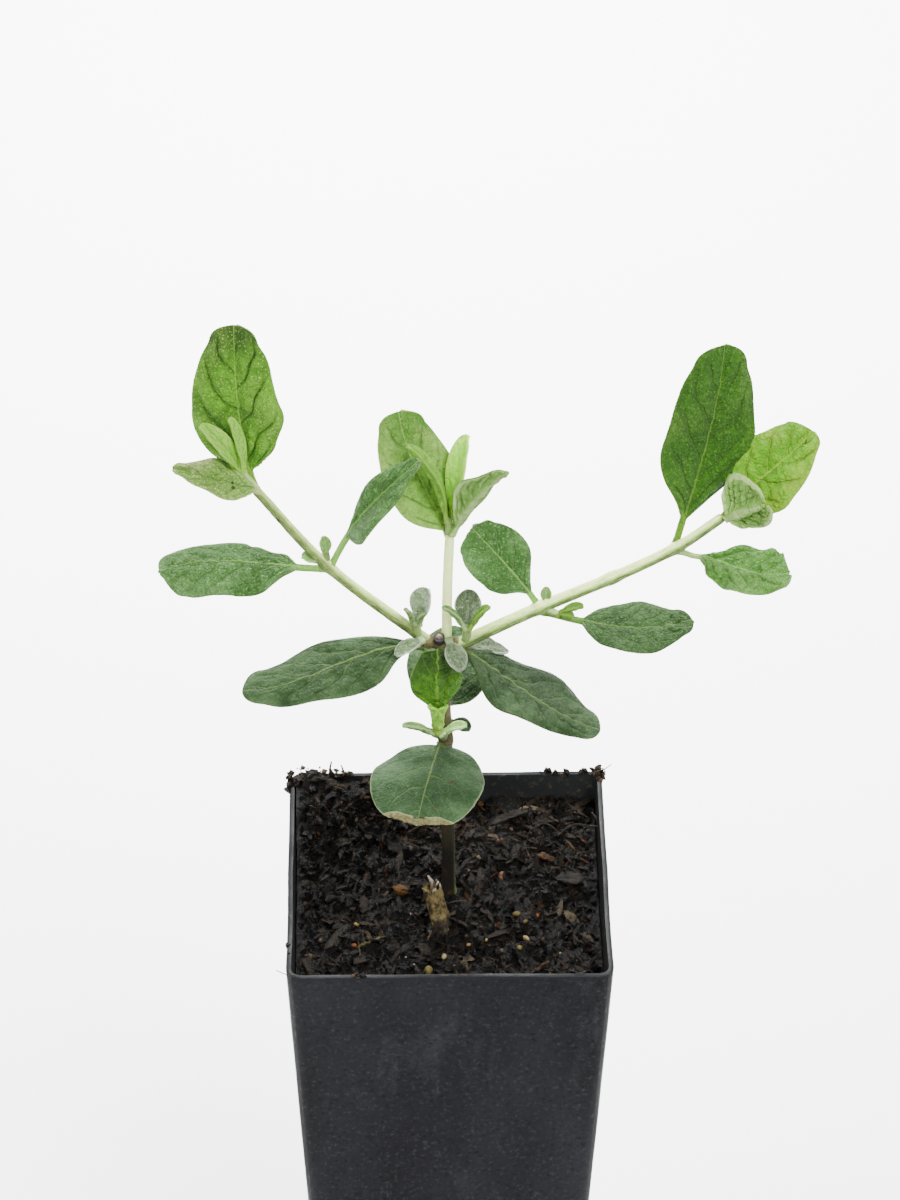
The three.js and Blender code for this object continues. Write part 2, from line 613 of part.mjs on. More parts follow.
const SHOOTS = [
  {
    name: 'lower_front_shoot', foot: [-0.9, 0.2, 147], finish: FELTED,
    clear: ['main_stem', 'lower_front_leaf', 'lower_shoot_leaf'],
    stalk: { reach: [-0.8, -2.6, 2.6], radii: [0.9, 0.75] },
    leaves: [
      { ...SMALL, heading: -170, climb: 22, length: 6, width: 1.8, at: 0.85 },
      { ...SMALL, heading: -8, climb: 26, length: 4.6, width: 1.8, at: 0.85 },
      { ...TINY, heading: -147, climb: 74, length: 6, width: 1.9, at: 0.95 },
      { ...TINY, heading: -34, climb: 74, length: 6, width: 1.9, at: 0.95 },
    ],
  },
  {
    name: 'lower_back_shoot', foot: [-0.2, 1.2, 148.1], clear: ['main_stem'], finish: GREY_GREEN,
    stalk: { reach: [1, 1.5, 0.2], radii: [0.7, 0.6] },
    leaves: [
      { ...SMALL, heading: -14, climb: -20, length: 4, width: 3.2, at: 0.8, roll: 10 },
      { ...SMALL, heading: 120, climb: 30, length: 3.4, width: 2.4, at: 0.8 },
    ],
  },
  {
    name: 'top_left_shoot', foot: [-4.6, 0.8, 165.4], clear: ['main_stem', 'left_branch'],
    finish: WOOLLY_GREY, stalk: { reach: [-0.4, -0.6, 3.2], radii: [0.7, 0.6] },
    leaves: [
      { ...SMALL, heading: 40, climb: 70, length: 6.4, width: 4, at: 0.7 },
      { ...TINY, heading: -146, climb: 64, length: 4, width: 1.5, at: 0.9 },
      { ...TINY, heading: -36, climb: 60, length: 3.4, width: 1.5, at: 0.9 },
    ],
  },
  {
    name: 'top_right_shoot', foot: [2.6, 0.6, 165], clear: ['main_stem', 'right_branch'],
    finish: WOOLLY_GREY, stalk: { reach: [0.2, -1, 3.2], radii: [0.7, 0.6] },
    leaves: [
      { ...SMALL, heading: 80, climb: 70, length: 6.4, width: 3.8, at: 0.7 },
      { ...SMALL, heading: -164, climb: 52, length: 6, width: 1.8, at: 0.9 },
      { ...SMALL, heading: -10, climb: 54, length: 5.4, width: 2.4, at: 0.9 },
    ],
  },
  {
    name: 'left_outer_shoot', foot: moved(LEFT_NODE, [0, 0, 0.8]), clear: ['left_branch'],
    finish: FELTED, stalk: { reach: [-1.4, 0, 0.5], radii: [0.6, 0.5] },
    leaves: [
      { ...TINY, heading: -176, climb: 22, length: 3.2, width: 1.4, at: 0.6 },
    ],
  },
  {
    name: 'left_inner_shoot', foot: moved(LEFT_NODE, [-0.3, 0.2, 0.4]), finish: FELTED,
    clear: ['left_branch', 'left_inner_leaf'], stalk: { reach: [0, 0, 2], radii: [0.6, 0.5] },
    leaves: [
      { ...TINY, heading: -176, climb: 78, length: 3.6, width: 1.4, at: 0.6 },
    ],
  },
  {
    name: 'right_inner_shoot', foot: moved(RIGHT_NODE, [0.8, -0.2, 0]), clear: ['right_branch'],
    finish: FELTED, stalk: { reach: [-0.1, -0.2, 1.2], radii: [0.6, 0.5] },
    leaves: [
      { ...TINY, heading: 20, climb: 60, length: 2.4, width: 1.4, at: 0.5 },
    ],
  },
  {
    name: 'right_outer_shoot', foot: moved(RIGHT_NODE, [1.2, -0.4, -0.2]), finish: FELTED,
    clear: ['right_branch', 'right_outer_leaf'], stalk: { reach: [1.4, -1.6, 0.4], radii: [0.6, 0.5] },
    leaves: [
      { ...TINY, heading: -4, climb: 24, length: 4.4, width: 1.8, at: 0.8 },
      { ...TINY, heading: -30, climb: 14, length: 3, width: 1.6, at: 0.8 },
    ],
  },
  {
    name: 'left_tip_shoot', foot: LEFT_TIP, finish: FRESH_GREEN,
    clear: ['left_branch', 'left_back_leaf', 'left_front_leaf'],
    stalk: { reach: [-1.6, 0.2, 2.6], radii: [0.7, 0.55] },
    leaves: [
      { ...SMALL, heading: 180, climb: 56, length: 11, width: 3.2, at: 0.8, rows: 8 },
      { ...SMALL, heading: 145, climb: 76, length: 9.8, width: 3, at: 0.8, rows: 8 },
    ],
  },
  {
    name: 'centre_tip_shoot', foot: CENTRE_TIP, finish: FRESH_GREEN,
    clear: ['centre_branch', 'centre_back_leaf', 'centre_front_leaf'],
    stalk: { reach: [-0.1, 0.1, 3], radii: [0.7, 0.6] },
    leaves: [
      { ...SMALL, heading: 176, climb: 66, length: 14.6, width: 3.4, at: 0.7, rows: 9,
        rise: [0.1, 0.1] },
      { ...SMALL, heading: 36, climb: 78, length: 14.4, width: 4.4, at: 0.7, rows: 9,
        rise: [0, 0.04] },
    ],
  },
];

makePot();
makeMainStem();
makeBranches();
makeSoil();
makeStub();
makeLeaves();
SHOOTS.forEach(makeShoot);

export default plant;
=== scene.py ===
import math
import bmesh
import bpy
import numpy as np
from mathutils import Matrix, Vector
from mathutils.kdtree import KDTree


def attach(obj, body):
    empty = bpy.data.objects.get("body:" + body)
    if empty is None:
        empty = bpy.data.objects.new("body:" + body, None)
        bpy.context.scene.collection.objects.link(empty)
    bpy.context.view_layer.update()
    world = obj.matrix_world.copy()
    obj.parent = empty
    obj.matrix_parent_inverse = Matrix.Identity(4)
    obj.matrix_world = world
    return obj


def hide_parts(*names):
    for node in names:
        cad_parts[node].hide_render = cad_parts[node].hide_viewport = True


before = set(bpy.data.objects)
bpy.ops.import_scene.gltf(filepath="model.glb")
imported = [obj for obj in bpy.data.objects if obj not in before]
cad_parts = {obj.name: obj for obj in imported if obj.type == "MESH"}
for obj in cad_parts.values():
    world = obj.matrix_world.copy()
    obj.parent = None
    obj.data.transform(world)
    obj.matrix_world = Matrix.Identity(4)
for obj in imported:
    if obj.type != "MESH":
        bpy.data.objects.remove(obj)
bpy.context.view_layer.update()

mm = 0.001
circle = 6.28                               # once round, in radians


# ---- small helpers

def soft(value, low, high):                 # 0 below low, 1 above high, smooth between
    x = np.clip((value - low) / (high - low), 0, 1)
    return x * x * (3 - 2 * x)


def mixed(first, second, share):
    return first + (second - first) * share


def shifted(point, *step):
    return tuple(p + s for p, s in zip(point, step))


def rippled(x, y, seed, size):              # smooth random waves, about -1 to 1
    dice = np.random.default_rng(seed)
    turns, shifts, stretches = dice.uniform(0, circle, 6), dice.uniform(0, circle, 6), dice.uniform(0.7, 1.6, 6)
    total = 0
    for turn, shift, stretch in zip(turns, shifts, stretches):
        total = total + np.sin((x * math.cos(turn) + y * math.sin(turn)) * stretch * circle / size + shift)
    return total / 3


def pickOnly(*pieces):
    if bpy.context.object and bpy.context.object.mode != "OBJECT":
        bpy.ops.object.mode_set(mode="OBJECT")
    bpy.ops.object.select_all(action="DESELECT")
    for piece in pieces:
        piece.select_set(True)
    bpy.context.view_layer.objects.active = pieces[0]


def startFrom(shape, name, **settings):     # a primitive to work on, with nothing else selected
    bpy.ops.object.select_all(action="DESELECT")
    getattr(bpy.ops.mesh, f"primitive_{shape}_add")(**settings)
    piece = bpy.context.object
    piece.name = name
    return piece


def pickParts(piece, kind, wanted):         # in edit mode, select the edges or faces that pass a test
    bpy.ops.object.mode_set(mode="EDIT")
    bpy.ops.mesh.select_mode(type=kind)
    bpy.ops.mesh.select_all(action="DESELECT")
    shape = bmesh.from_edit_mesh(piece.data)
    for part in shape.edges if kind == "EDGE" else shape.faces:
        part.select = wanted(part)
    bmesh.update_edit_mesh(piece.data)


def edgeRise(edge):
    return abs(edge.verts[0].co.z - edge.verts[1].co.z)


def applyModifiers(piece):
    pickOnly(piece)
    for modifier in list(piece.modifiers):
        bpy.ops.object.modifier_apply(modifier=modifier.name)


def addModifier(piece, name, kind, **settings):
    modifier = piece.modifiers.new(name, kind)
    for key, value in settings.items():
        setattr(modifier, key, value)


def settlePlace(piece):                     # the place goes into the mesh
    pickOnly(piece)
    bpy.ops.object.transform_apply(location=True, rotation=True, scale=True)


def smoothTo(piece, degrees):
    pickOnly(piece)
    bpy.ops.object.shade_smooth_by_angle(angle=math.radians(degrees))


def joinAll(pieces, name):
    pickOnly(*pieces)
    if len(pieces) > 1:
        bpy.ops.object.join()
    whole = bpy.context.object
    whole.name = name
    return whole


def readPoints(piece):
    points = np.empty(len(piece.data.vertices) * 3)
    piece.data.vertices.foreach_get("co", points)
    return points.reshape(-1, 3)


def writePoints(piece, points):
    piece.data.vertices.foreach_set("co", np.asarray(points, float).ravel())
    piece.data.update()


def writeTrait(piece, name, values):        # a vector stored on every point
    trait = piece.data.attributes.new(name, "FLOAT_VECTOR", "POINT")
    trait.data.foreach_set("vector", np.asarray(values, float).ravel())


def finishPiece(piece, slotName, *nodes):
    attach(piece, "root")
    if nodes:
        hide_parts(*nodes)


def plainName(nodeName):                    # top_left_leaf becomes topLeftLeaf
    first, *rest = nodeName.split("_")
    return first + "".join(word.title() for word in rest)


# ---- material helpers

exposure = 0.37
brightest = 0.95                            # nothing real is whiter
bench = {}                                  # the node tree being worked on


def screen(red, green, blue, lift=1.0):     # a colour as it should come out on the screen, 0 to 255
    light = [(c / 255 / 12.92) if c < 11 else ((c / 255 + 0.055) / 1.055) ** 2.4 for c in (red, green, blue)]
    return tuple(min(brightest, exposure * lift * c) for c in light) + (1,)


def wire(source, target, socket):
    bench["tree"].links.new(source, target.inputs[socket])


def node(kind, settings=None, inputs=None):
    made = bench["tree"].nodes.new("ShaderNode" + kind)
    for key, value in (settings or {}).items():
        setattr(made, key, value)
    for key, value in (inputs or {}).items():
        if isinstance(value, bpy.types.NodeSocket):
            wire(value, made, key)
        else:
            made.inputs[key].default_value = value
    return made


def sums(operation, first, *others):
    for other in others or (0.0,):
        first = node("Math", {"operation": operation}, {0: first, 1: other}).outputs[0]
    return first


def times(*values):
    return sums("MULTIPLY", *values)


def plus(*values):
    return sums("ADD", *values)


def minus(*values):
    return sums("SUBTRACT", *values)


def distance(x, y):
    return sums("SQRT", plus(times(x, x), times(y, y)))


def ramped(value, low, high, least=0.0, most=1.0):
    ends = {"Value": value, "From Min": low, "From Max": high, "To Min": least, "To Max": most}
    return node("MapRange", {"interpolation_type": "SMOOTHSTEP"}, ends).outputs[0]


def tinted(share, first, second):
    return node("Mix", {"data_type": "RGBA"}, {0: share, 6: first, 7: second}).outputs[2]


def coated(colour, *coats):                 # thin coats of other colours, each with its share
    for share, shade in coats:
        colour = tinted(share, colour, shade)
    return colour


def scaled(colour, amount):
    return node("VectorMath", {"operation": "SCALE"}, {0: colour, "Scale": amount}).outputs[0]


def cloudy(place, scale, detail, rough):
    grain = {"Vector": place, "Scale": scale, "Detail": detail, "Roughness": rough}
    return node("TexNoise", None, grain).outputs[0]


def stretched(place, scale):
    return node("Mapping", None, {"Vector": place, "Scale": scale}).outputs[0]


def parted(vector):
    return node("SeparateXYZ", None, {0: vector}).outputs


def ownPlace():
    return node("TexCoord").outputs["Object"]


def traitOf(name):
    return node("Attribute", {"attribute_name": name}).outputs["Vector"]


def startPaint(name, sockets):
    material = bpy.data.materials.new(name)
    material.use_nodes = True
    bench["tree"] = material.node_tree
    shader = material.node_tree.nodes["Principled BSDF"]
    for socket, value in sockets.items():
        shader.inputs[socket].default_value = value
    return material, shader


def finishPaint(shader, colour, height, depth, strength=0.8):
    wire(colour, shader, "Base Color")
    bump = node("Bump", None, {"Height": height, "Distance": depth * mm, "Strength": strength})
    wire(bump.outputs[0], shader, "Normal")


# ---- camera, floor and light

view = {
    "place": (-8.77, -545.0, 575.7), "down": 36.47, "turn": 0.938, "roll": 0.233,
    "lens": 136.3, "sensor": 36,
}


def addCamera():
    bpy.ops.object.camera_add()
    camera = bpy.context.object
    camera.name = "viewCamera"
    down, turn, roll = (math.radians(view[k]) for k in ("down", "turn", "roll"))
    ahead = Vector((math.sin(turn) * math.cos(down), math.cos(turn) * math.cos(down), -math.sin(down)))
    right = Vector((math.cos(turn), -math.sin(turn), 0))
    top = right.cross(ahead)
    right, top = right * math.cos(roll) + top * math.sin(roll), top * math.cos(roll) - right * math.sin(roll)
    facing = Matrix((right, top, -ahead)).transposed().to_4x4()
    camera.matrix_world = Matrix.Translation(Vector(view["place"]) * mm) @ facing
    camera.data.lens = view["lens"]
    camera.data.sensor_width = view["sensor"]
    camera.data.clip_start = 0.01
    bpy.context.scene.camera = camera


light = {
    "key": {"place": (0.35, -0.5, 0.95), "aim": (0, 0, 0.15), "size": 0.5, "power": 26.0, "spread": 180},
    "fill": {"place": (-0.75, -0.35, 0.75), "aim": (0, 0, 0.15), "size": 0.7, "power": 12.0, "spread": 180},
    "back": {"place": (-0.1, 0.75, 0.95), "aim": (0, 0.15, 0.05), "size": 0.8, "power": 17.0, "spread": 180},
    "sweep": {"place": (0, 1.15, 1.05), "aim": (0, 0.42, 0), "size": 0.4, "power": 11.0, "spread": 44},
}
surround = {"colour": (1, 1, 1, 1), "strength": 0.45}
floorLook = {"size": 6.0, "drop": 0.0002, "colour": (0.93, 0.93, 0.93, 1), "roughness": 0.9}


def addLight():
    for name, look in light.items():
        bpy.ops.object.light_add(type="AREA", location=look["place"])
        lamp = bpy.context.object
        lamp.name = name + "Light"
        lamp.data.size = look["size"]
        lamp.data.energy = look["power"]
        lamp.data.spread = math.radians(look["spread"])
        lamp.rotation_euler = (Vector(look["aim"]) - Vector(look["place"])).to_track_quat("-Z", "Y").to_euler()
    world = bpy.data.worlds.new("studio")
    world.use_nodes = True
    backdrop = world.node_tree.nodes["Background"]
    backdrop.inputs[0].default_value = surround["colour"]
    backdrop.inputs[1].default_value = surround["strength"]
    bpy.context.scene.world = world
    floor = startFrom("plane", "floor", size=floorLook["size"], location=(0, 0, -floorLook["drop"]))
    material, _ = startPaint("paleFloor", {
        "Base Color": floorLook["colour"], "Roughness": floorLook["roughness"]})
    floor.data.materials.append(material)


# ---- leaf paint: the leafPlace trait holds how far along the blade, how far across, and its half width

# each look has the colours of leafShades as they should look on the screen, and what differs from leafPaintBasics
# the bloom shade is the colour of the leaf's felt, and also of its painted sheen and highlights
leafShades = ("body", "deep", "vein", "mid", "bloom", "rim", "petiole", "foot", "tip")
leafPaintBasics = {
    "lift": 1.0, "veil": 0.4, "bloomShare": 0.6, "bloomSide": False, "line": 0.08, "veinShare": 0.2,
    "midShare": 0.8, "valley": 0.3, "valleyFrom": 0.76, "net": 0.2, "crease": 0.55, "speckle": 0.55,
    "footShare": 0.5, "tipFrom": 0.6, "tipShare": 0.3, "rimFrom": 0.955, "rimShare": 0.6,
}
leafLooks = {
    "oldLeaf": {
        "colours": ((83, 137, 56), (52, 93, 32), (136, 196, 88), (158, 215, 98), (175, 238, 145),
                    (103, 142, 62), (156, 228, 88), (77, 134, 50), (97, 148, 71)),
        "veil": 0.28, "veinShare": 0.4, "valley": 0.35, "net": 0.18, "crease": 0.35, "speckle": 0.4,
        "footShare": 0.3, "tipShare": 0.4,
    },
    "darkLeaf": {
        "colours": ((54, 90, 39), (32, 60, 20), (98, 138, 63), (134, 167, 82), (138, 180, 119),
                    (99, 127, 69), (112, 141, 62), (47, 85, 31), (76, 113, 63)),
        "bloomShare": 0.3, "line": 0.07, "veinShare": 0.75, "midShare": 0.9, "valley": 0.25, "net": 0.12,
        "crease": 0.22, "speckle": 0.35, "footShare": 0.4, "tipShare": 0.6,
    },
    "broadLeaf": {
        "colours": ((56, 96, 46), (37, 71, 29), (110, 150, 79), (133, 162, 87), (139, 180, 125),
                    (173, 194, 136), (126, 155, 74), (49, 88, 38), (69, 106, 56)),
        "bloomShare": 0.4, "line": 0.06, "veinShare": 0.7, "midShare": 0.9, "net": 0.14, "crease": 0.2,
        "speckle": 0.3, "footShare": 0.4, "tipShare": 0.4, "rimFrom": 0.968, "rimShare": 1.0,
    },
    "quiltedLeaf": {
        "colours": ((124, 205, 38), (55, 107, 19), (131, 192, 67), (167, 223, 89), (190, 234, 103),
                    (133, 194, 62), (161, 225, 60), (124, 210, 34), (21, 43, 25)),
        "veil": 0.2, "bloomShare": 1.0, "line": 0.05, "veinShare": 0.1, "valley": 0.65, "valleyFrom": 0.8,
        "net": 0.16, "crease": 0.26, "tipFrom": 0.73, "tipShare": 0.85,
    },
    "greyFresh": {
        "colours": ((102, 170, 56), (64, 124, 31), (142, 207, 91), (160, 223, 107), (174, 238, 128),
                    (158, 218, 103), (211, 255, 149), (97, 162, 56), (91, 160, 42)),
        "veil": 0.6, "bloomShare": 0.9, "bloomSide": True, "line": 0.07, "veinShare": 0.35, "valley": 0.4,
        "footShare": 0.6, "tipShare": 0.4,
    },
    "greyLeaf": {
        "colours": ((150, 201, 82), (111, 163, 53), (191, 249, 122), (104, 160, 53), (246, 255, 178),
                    (220, 255, 147), (240, 255, 164), (189, 249, 115), (147, 197, 85)),
        "veil": 1.0, "bloomShare": 1.0, "bloomSide": True, "line": 0.07, "veinShare": 0.4, "speckle": 0.7,
        "footShare": 0.8,
    },
    # a lit copy of youngLeaf: painted light for a leaf that faces away from the lamps
    "paleLeaf": {
        "colours": ((162, 255, 52), (134, 223, 36), (214, 255, 101), (224, 255, 119), (226, 255, 127),
                    (214, 255, 110), (214, 255, 101), (180, 255, 67), (150, 236, 50)),
        "lift": 2.2, "bloomShare": 0.4, "line": 0.06, "veinShare": 0.3, "midShare": 0.6, "valley": 0.2,
        "net": 0.1, "crease": 0.5, "rimFrom": 0.88, "rimShare": 0.85,
    },
    "softLime": {
        "colours": ((153, 238, 70), (87, 154, 42), (184, 252, 100), (197, 255, 116), (221, 255, 140),
                    (197, 255, 120), (203, 255, 100), (171, 255, 64), (89, 152, 48)),
        "line": 0.06, "midShare": 0.7, "valley": 0.5, "net": 0.14, "crease": 0.24, "tipFrom": 0.45,
        "tipShare": 0.8,
    },
    "freshLeaf": {
        "colours": ((122, 193, 59), (82, 146, 36), (155, 220, 92), (180, 239, 118), (204, 253, 150),
                    (143, 196, 85), (161, 230, 80), (133, 210, 54), (94, 155, 53)),
        "bloomShare": 0.34, "line": 0.07, "valley": 0.6, "net": 0.16, "tipShare": 0.4,
    },
    "deepLeaf": {
        "colours": ((69, 131, 17), (42, 89, 7), (98, 154, 37), (125, 180, 52), (155, 218, 78),
                    (96, 138, 40), (127, 189, 37), (77, 144, 10), (72, 131, 25)),
        "veil": 0.2, "bloomShare": 0.45, "veinShare": 0.35, "valley": 0.5, "crease": 0.3, "footShare": 0.6,
    },
    # its dark tip is a painted shadow of the leaves above it
    "brightLeaf": {
        "colours": ((90, 158, 16), (57, 104, 11), (122, 185, 38), (137, 197, 46), (131, 193, 54),
                    (123, 193, 34), (131, 201, 32), (101, 178, 14), (41, 73, 9)),
        "bloomShare": 0.22, "line": 0.07, "veinShare": 0.4, "midShare": 0.7, "footShare": 0.7, "tipFrom": 0.3,
        "tipShare": 0.95,
    },
    "limeLeaf": {
        "colours": ((146, 238, 33), (91, 168, 18), (194, 249, 63), (206, 249, 74), (226, 249, 88),
                    (175, 249, 57), (194, 249, 58), (144, 240, 26), (136, 221, 35)),
        "veinShare": 0.45, "valley": 0.5, "net": 0.18, "crease": 0.3,
    },
    "youngLeaf": {
        "colours": ((166, 254, 68), (140, 228, 51), (200, 255, 92), (211, 255, 108), (226, 255, 128),
                    (185, 255, 86), (207, 255, 100), (185, 255, 79), (159, 246, 64)),
        "bloomShare": 0.9, "veinShare": 0.1, "midShare": 0.6, "valley": 0.2, "net": 0.1, "crease": 0.5,
        "rimFrom": 0.88, "rimShare": 0.85,
    },
    "woollyLeaf": {
        "colours": ((142, 171, 120), (90, 119, 70), (172, 199, 142), (179, 204, 149), (235, 255, 217),
                    (224, 237, 206), (195, 220, 156), (161, 187, 138), (172, 192, 163)),
        "bloomShare": 0.8, "midShare": 0.4, "valley": 0.2, "net": 0.1, "speckle": 0.8, "footShare": 0.4,
        "rimFrom": 0.9, "rimShare": 0.9,
    },
    # a lit copy of woollyLeaf: painted light for the upright shoot leaves that stand in shade
    "palerWool": {
        "colours": ((135, 158, 115), (86, 109, 69), (159, 181, 136), (170, 190, 144), (221, 238, 207),
                    (200, 213, 188), (174, 198, 140), (145, 168, 125), (155, 175, 148)),
        "lift": 1.8, "bloomShare": 0.8, "midShare": 0.4, "valley": 0.2, "net": 0.1, "speckle": 0.8,
        "footShare": 0.4, "rimFrom": 0.9, "rimShare": 0.9,
    },
    "axilFelt": {
        "colours": ((146, 210, 92), (104, 156, 60), (190, 240, 140), (196, 244, 146), (216, 250, 166),
                    (214, 250, 170), (196, 240, 140), (150, 214, 96), (150, 200, 110)),
        "line": 0.07, "veinShare": 0.15, "midShare": 0.5, "valley": 0.2, "net": 0.1, "crease": 0.5,
        "footShare": 0.4, "rimFrom": 0.86, "rimShare": 0.8,
    },
    "feltUnder": {
        "colours": ((168, 184, 140), (142, 162, 112), (206, 216, 184), (216, 224, 196), (222, 228, 208),
                    (190, 200, 164), (190, 206, 150), (172, 190, 136), (160, 178, 130)),
        "bloomShare": 0.5, "line": 0.12, "veinShare": 0.7, "midShare": 0.9, "footShare": 0.3,
    },
    "ribbedUnder": {
        "colours": ((147, 211, 87), (125, 190, 67), (206, 249, 144), (228, 255, 173), (200, 245, 134),
                    (214, 254, 156), (214, 251, 151), (177, 236, 113), (130, 192, 74)),
        "bloomShare": 0.4, "line": 0.06, "veinShare": 0.5, "midShare": 0.5, "valley": 0.15, "valleyFrom": 0.6,
        "net": 0.15, "crease": 0.25, "rimFrom": 0.84, "rimShare": 0.9,
    },
    "driedUnder": {
        "colours": ((180, 182, 117), (125, 108, 62), (204, 211, 143), (210, 219, 153), (227, 234, 172),
                    (217, 226, 161), (184, 204, 124), (171, 193, 119), (153, 134, 80)),
        "bloomShare": 0.5, "line": 0.12, "veinShare": 0.5, "midShare": 0.2, "net": 0.3, "speckle": 0.7,
        "footShare": 0.8, "tipShare": 0.6,
    },
}
veinRun = {"slope": 0.26, "curl": 0.14, "stagger": 0.2}
paints = {}


def leafPaint(key, leafLook, raised, owner):
    pairs, tone, blots = leafLook["pairs"], leafLook["tone"], () if raised else leafLook["blots"]
    name = f"{key}{pairs}{'Under' if raised else ''}{round(100 * tone)}{owner if blots else ''}"
    if name in paints:
        return paints[name]
    look = {**leafPaintBasics, **leafLooks[key]}
    # lift and tone make a look brighter or darker; besides a leaf's own shade they paint in the light or shade
    # that falls on it
    shades = {part: screen(*c, look["lift"] * tone) for part, c in zip(leafShades, look["colours"])}
    material, shader = startPaint(name, {
        "Roughness": 0.6, "Specular IOR Level": 0.12, "Sheen Weight": 0.03, "Sheen Roughness": 0.5})
    along, across, half = parted(traitOf("leafPlace"))
    edge, side = sums("ABSOLUTE", across), sums("SIGN", across)
    spot = ownPlace()
    patches = cloudy(spot, 260, 4, 0.6)
    grain = cloudy(spot, 3100, 4, 0.75)
    hairs = cloudy(spot, 4600, 2, 0.6)
    wrinkles = cloudy(spot, 1150, 3, 0.6)
    dots = node("TexVoronoi", {"feature": "F1"}, {"Vector": spot, "Scale": 2400.0}).outputs[0]
    cells = node("TexVoronoi", {"feature": "DISTANCE_TO_EDGE"}, {"Vector": spot, "Scale": 1100.0}).outputs[0]
    net = ramped(cells, 0.18, 0.02)
    # the side veins run out and forward from the midrib; painted shade darkens the sunken valleys along them
    run = minus(along, times(edge, veinRun["slope"]), times(edge, edge, veinRun["curl"]))
    wander = times(minus(patches, 0.5), 0.05)
    phase = sums("FRACT", plus(times(plus(run, wander), float(pairs)), times(side, veinRun["stagger"])))
    near = minus(1.0, times(sums("ABSOLUTE", minus(phase, 0.5)), 2.0))
    fade = times(ramped(edge, 0.98, 0.5), ramped(along, 0.0, 0.08), ramped(along, 1.0, 0.86))
    line = times(ramped(near, 1 - 1.6 * look["line"], 1 - 0.6 * look["line"]), fade)
    valley = times(ramped(near, look["valleyFrom"], 0.97), fade)
    midrib = ramped(sums("DIVIDE", times(edge, half), ramped(along, 0.0, 1.0, 1.0, 0.4)), 0.22, 0.09)
    # painted sheen: a whitish sheen towards the margins
    veil = times(ramped(cloudy(spot, 150, 3, 0.5), 0.4, 0.62), ramped(edge, 0.15, 0.9, 0.3, 1.0))
    if look["bloomSide"]:                   # one half of the blade gets more painted sheen
        veil = times(veil, ramped(across, -0.3, 0.25, 0.1, 1.0))
    felt = times(ramped(dots, 0.42, 0.2), ramped(hairs, 0.45, 0.58, 0.0, look["bloomShare"]))
    colour = coated(
        shades["deep"],
        (ramped(patches, 0.34, 0.6, 0.35, 1.0), shades["body"]),
        (ramped(along, 0.45, 0.0, 0.0, look["footShare"]), shades["foot"]),
        (ramped(along, look["tipFrom"], 0.98, 0.0, look["tipShare"]), shades["tip"]),
        (times(veil, look["veil"]), shades["bloom"]),
        # painted shade in the creases of the wrinkles and a painted highlight on their ridges
        (ramped(wrinkles, 0.49, 0.36, 0.0, look["crease"]), shades["deep"]),
        (ramped(wrinkles, 0.53, 0.66, 0.0, 0.5 * look["crease"]), shades["bloom"]),
        # painted shade in the sunken vein valleys
        (times(valley, look["valley"]), shades["deep"]),
        # painted shade in the fine net of sunken creases
        (times(net, look["net"]), shades["deep"]),
        (ramped(grain, 0.46, 0.32, 0.0, look["speckle"]), shades["deep"]),
        (felt, shades["bloom"]),
        (times(line, look["veinShare"]), shades["vein"]),
        (times(midrib, look["midShare"]), shades["mid"]),
    )
    for blotAlong, blotAcross, size, shade in blots:
        lengthwise = times(minus(along, blotAlong), leafLook["length"])
        sideways = times(minus(across, blotAcross), half)
        far = distance(lengthwise, sideways)
        colour = tinted(ramped(far, size, 0.5 * size, 0.0, 0.85), colour, screen(*shade))
    margin = times(ramped(edge, look["rimFrom"], look["rimFrom"] + 0.03), ramped(along, 0.0, 0.05))
    colour = coated(
        colour,
        (times(margin, look["rimShare"]), shades["rim"]),
        (ramped(along, 0.03, -0.02), shades["petiole"]),
    )
    ridges = times(plus(line, times(net, 2.5 * look["net"])), 0.6 if raised else -0.6)
    finishPaint(shader, colour, plus(times(wrinkles, 1.6), times(grain, 0.8), ridges), 0.36, 1.0)
    paints[name] = material
    return material


# ---- leaves: a grid is bent into each blade, then given its thickness
# angles are in degrees, lengths in millimetres; a pair is for the left and the right half of the blade

# a leaf's tone brightens or darkens its colours: painted light and shade for where it stands, as well as its own
# shade
leafBasics = {
    "roll": 0, "petiole": 1, "widest": 0.5, "rise": (0.05, 0.05), "sway": (0, 0), "footCurve": 0.9,
    "tipCurve": 0.7, "fold": (8, 8), "cup": (0, 0), "hem": (0, 0), "wave": (0, 2, 0), "rows": 96,
    "columns": 56, "stalk": (0.8, 0.7), "blade": 0.42, "pairs": 5, "quilt": 0.2, "groove": 0.18,
    "lumps": 0.15, "ragged": 0.004, "tipWidth": 0.5, "blunt": 0.9, "outline": None, "under": "feltUnder",
    "tone": 1.0, "blots": (), "dents": (), "frontFold": (0, 0), "join": None,
}
outlineStops = (0, 0.1, 0.2, 0.35, 0.5, 0.65, 0.8, 0.9, 1)     # where an outline's half widths are
petioleRows = 0.14                          # the share of the rows that the petiole takes
leafCount = {"made": 0}


def drawnHalf(look, side, inside, narrow):  # a smooth curve through the outline's half widths
    knots = np.array(outlineStops)
    stops = np.array((narrow,) + look["outline"][side] + look["outline"][side][-1:])
    slopes = np.gradient(stops, knots)
    spot = np.clip(np.searchsorted(knots, inside, side="right") - 1, 0, len(knots) - 2)
    gap = knots[spot + 1] - knots[spot]
    w = (inside - knots[spot]) / gap
    blade = (2 * w ** 3 - 3 * w ** 2 + 1) * stops[spot] + (3 * w ** 2 - 2 * w ** 3) * stops[spot + 1]
    blade += (w ** 3 - 2 * w ** 2 + w) * gap * slopes[spot] + (w ** 3 - w ** 2) * gap * slopes[spot + 1]
    last = np.clip((inside - look["blunt"]) / (1 - look["blunt"]), 0, 1)
    return blade * np.sqrt(1 - last ** 2), mixed(narrow, 0.15, inside)


